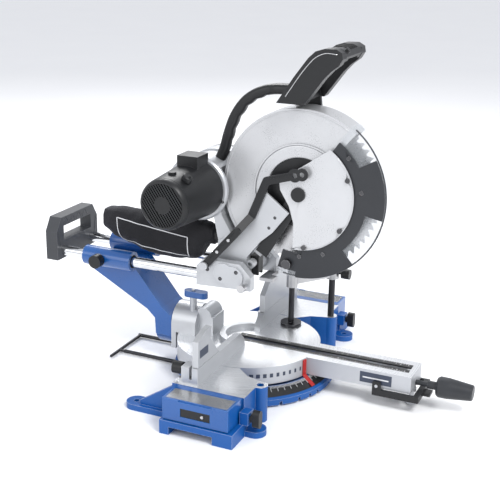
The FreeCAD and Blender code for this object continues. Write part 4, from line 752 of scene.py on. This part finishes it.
def sewn_line(name, bag, points, half, finish):
    """A flat strip that lies on the left side of the bag."""
    tree = BVHTree.FromObject(bag, bpy.context.evaluated_depsgraph_get())
    shape = bmesh.new()
    rows = []
    for i, (y, z) in enumerate(points):
        a, b = points[max(i - 1, 0)], points[min(i + 1, len(points) - 1)]
        run = Vector((b[0] - a[0], b[1] - a[1])).normalized()
        row = []
        for s in (-half, half):
            start = Vector((-120, y - run.y * s, z + run.x * s)) * MM
            hit = tree.ray_cast(start, Vector((1, 0, 0)))[0]
            if hit is None:
                return
            row.append(shape.verts.new((hit.x / MM - 0.7, hit.y / MM, hit.z / MM)))
        rows.append(row)
    for a, b in zip(rows, rows[1:]):
        shape.faces.new((a[0], a[1], b[1], b[0]))
    thing = make(name, "head", finish, shape, 0)
    solid = thing.modifiers.new("thread", "SOLIDIFY")
    solid.thickness = 0.5 * MM


def bag_details(bag):
    corners = [(284, 304), (276, 258), (118, 243), (118, 286)]
    for k in range(4):
        a, b = corners[k], corners[(k + 1) % 4]
        points = [(a[0] + (b[0] - a[0]) * t / 24, a[1] + (b[1] - a[1]) * t / 24) for t in range(25)]
        sewn_line("bag_outline_%d" % k, bag, points, 0.9, PLATE_WHITE)
    collar = bmesh.new()
    add_turned(collar, (-12, 70, 290), (0, 1, 0), [(19.8, 0), (21, 1), (21, 9), (19.8, 10)], 48)
    make("bag_neck_band", "head", GRIP_RUBBER, collar, 0.4)


operating_handle()
carry_handle()
motor_end()
guard_trim()
ticks()
labels()
fasteners()
rear_grip_struts()
bag_details(dust_bag())


# ---- stage ------------------------------------------------------------------------------

def lay_floor():
    size = 14.0
    mesh = bpy.data.meshes.new("floor")
    corners = [(-size, -size, 0), (size, -size, 0), (size, size, 0), (-size, size, 0)]
    mesh.from_pydata(corners, [], [(0, 1, 2, 3)])
    floor = bpy.data.objects.new("floor", mesh)
    bpy.context.collection.objects.link(floor)
    pale = Finish("floor_paper", Specular_IOR_Level=0.2)
    cloud = pale.speckle(400, 2)
    pale.drive("Base Color", pale.blend(cloud, (0.93, 0.93, 0.935, 1), (0.96, 0.96, 0.96, 1)))
    pale.drive("Roughness", 0.75 + cloud * 0.1)
    mesh.materials.append(pale.material)


def soft_light(name, place, aim, size, watts):
    lamp = bpy.data.lights.new(name, "AREA")
    lamp.shape = "DISK"
    lamp.size = size
    lamp.energy = watts
    thing = bpy.data.objects.new(name, lamp)
    thing.location = place
    thing.rotation_euler = (Vector(aim) - Vector(place)).to_track_quat("-Z", "Y").to_euler()
    bpy.context.collection.objects.link(thing)


def studio():
    world = bpy.data.worlds.new("pale_room")
    bpy.context.scene.world = world
    bpy.context.scene.view_settings.view_transform = "Standard"
    world.use_nodes = True
    room = world.node_tree.nodes["Background"]
    room.inputs["Color"].default_value = (0.93, 0.95, 1.0, 1)
    room.inputs["Strength"].default_value = 0.85
    middle = (0, 0, 0.3)
    soft_light("key", (-1.2, -1.9, 2.7), middle, 1.2, 70)
    soft_light("fill", (-2.4, 1.2, 1.5), middle, 1.8, 16)
    soft_light("rim", (1.9, 1.2, 2.2), middle, 1.4, 40)


def camera():
    lens = bpy.data.cameras.new("camera")
    lens.sensor_width = 36
    lens.lens = 73.10
    lens.clip_end = 50
    thing = bpy.data.objects.new("camera", lens)
    right, up = (0.40889, -0.91242, 0.01753), (0.28150, 0.14438, 0.94864)
    back = (-0.86808, -0.38295, 0.31588)
    place = (-1.7707, -0.7801, 0.9072)
    rows = [(r, u, b, p) for r, u, b, p in zip(right, up, back, place)]
    thing.matrix_world = Matrix(rows + [(0, 0, 0, 1)])
    bpy.context.collection.objects.link(thing)
    bpy.context.scene.camera = thing


lay_floor()
studio()
camera()

bpy.context.view_layer.update()
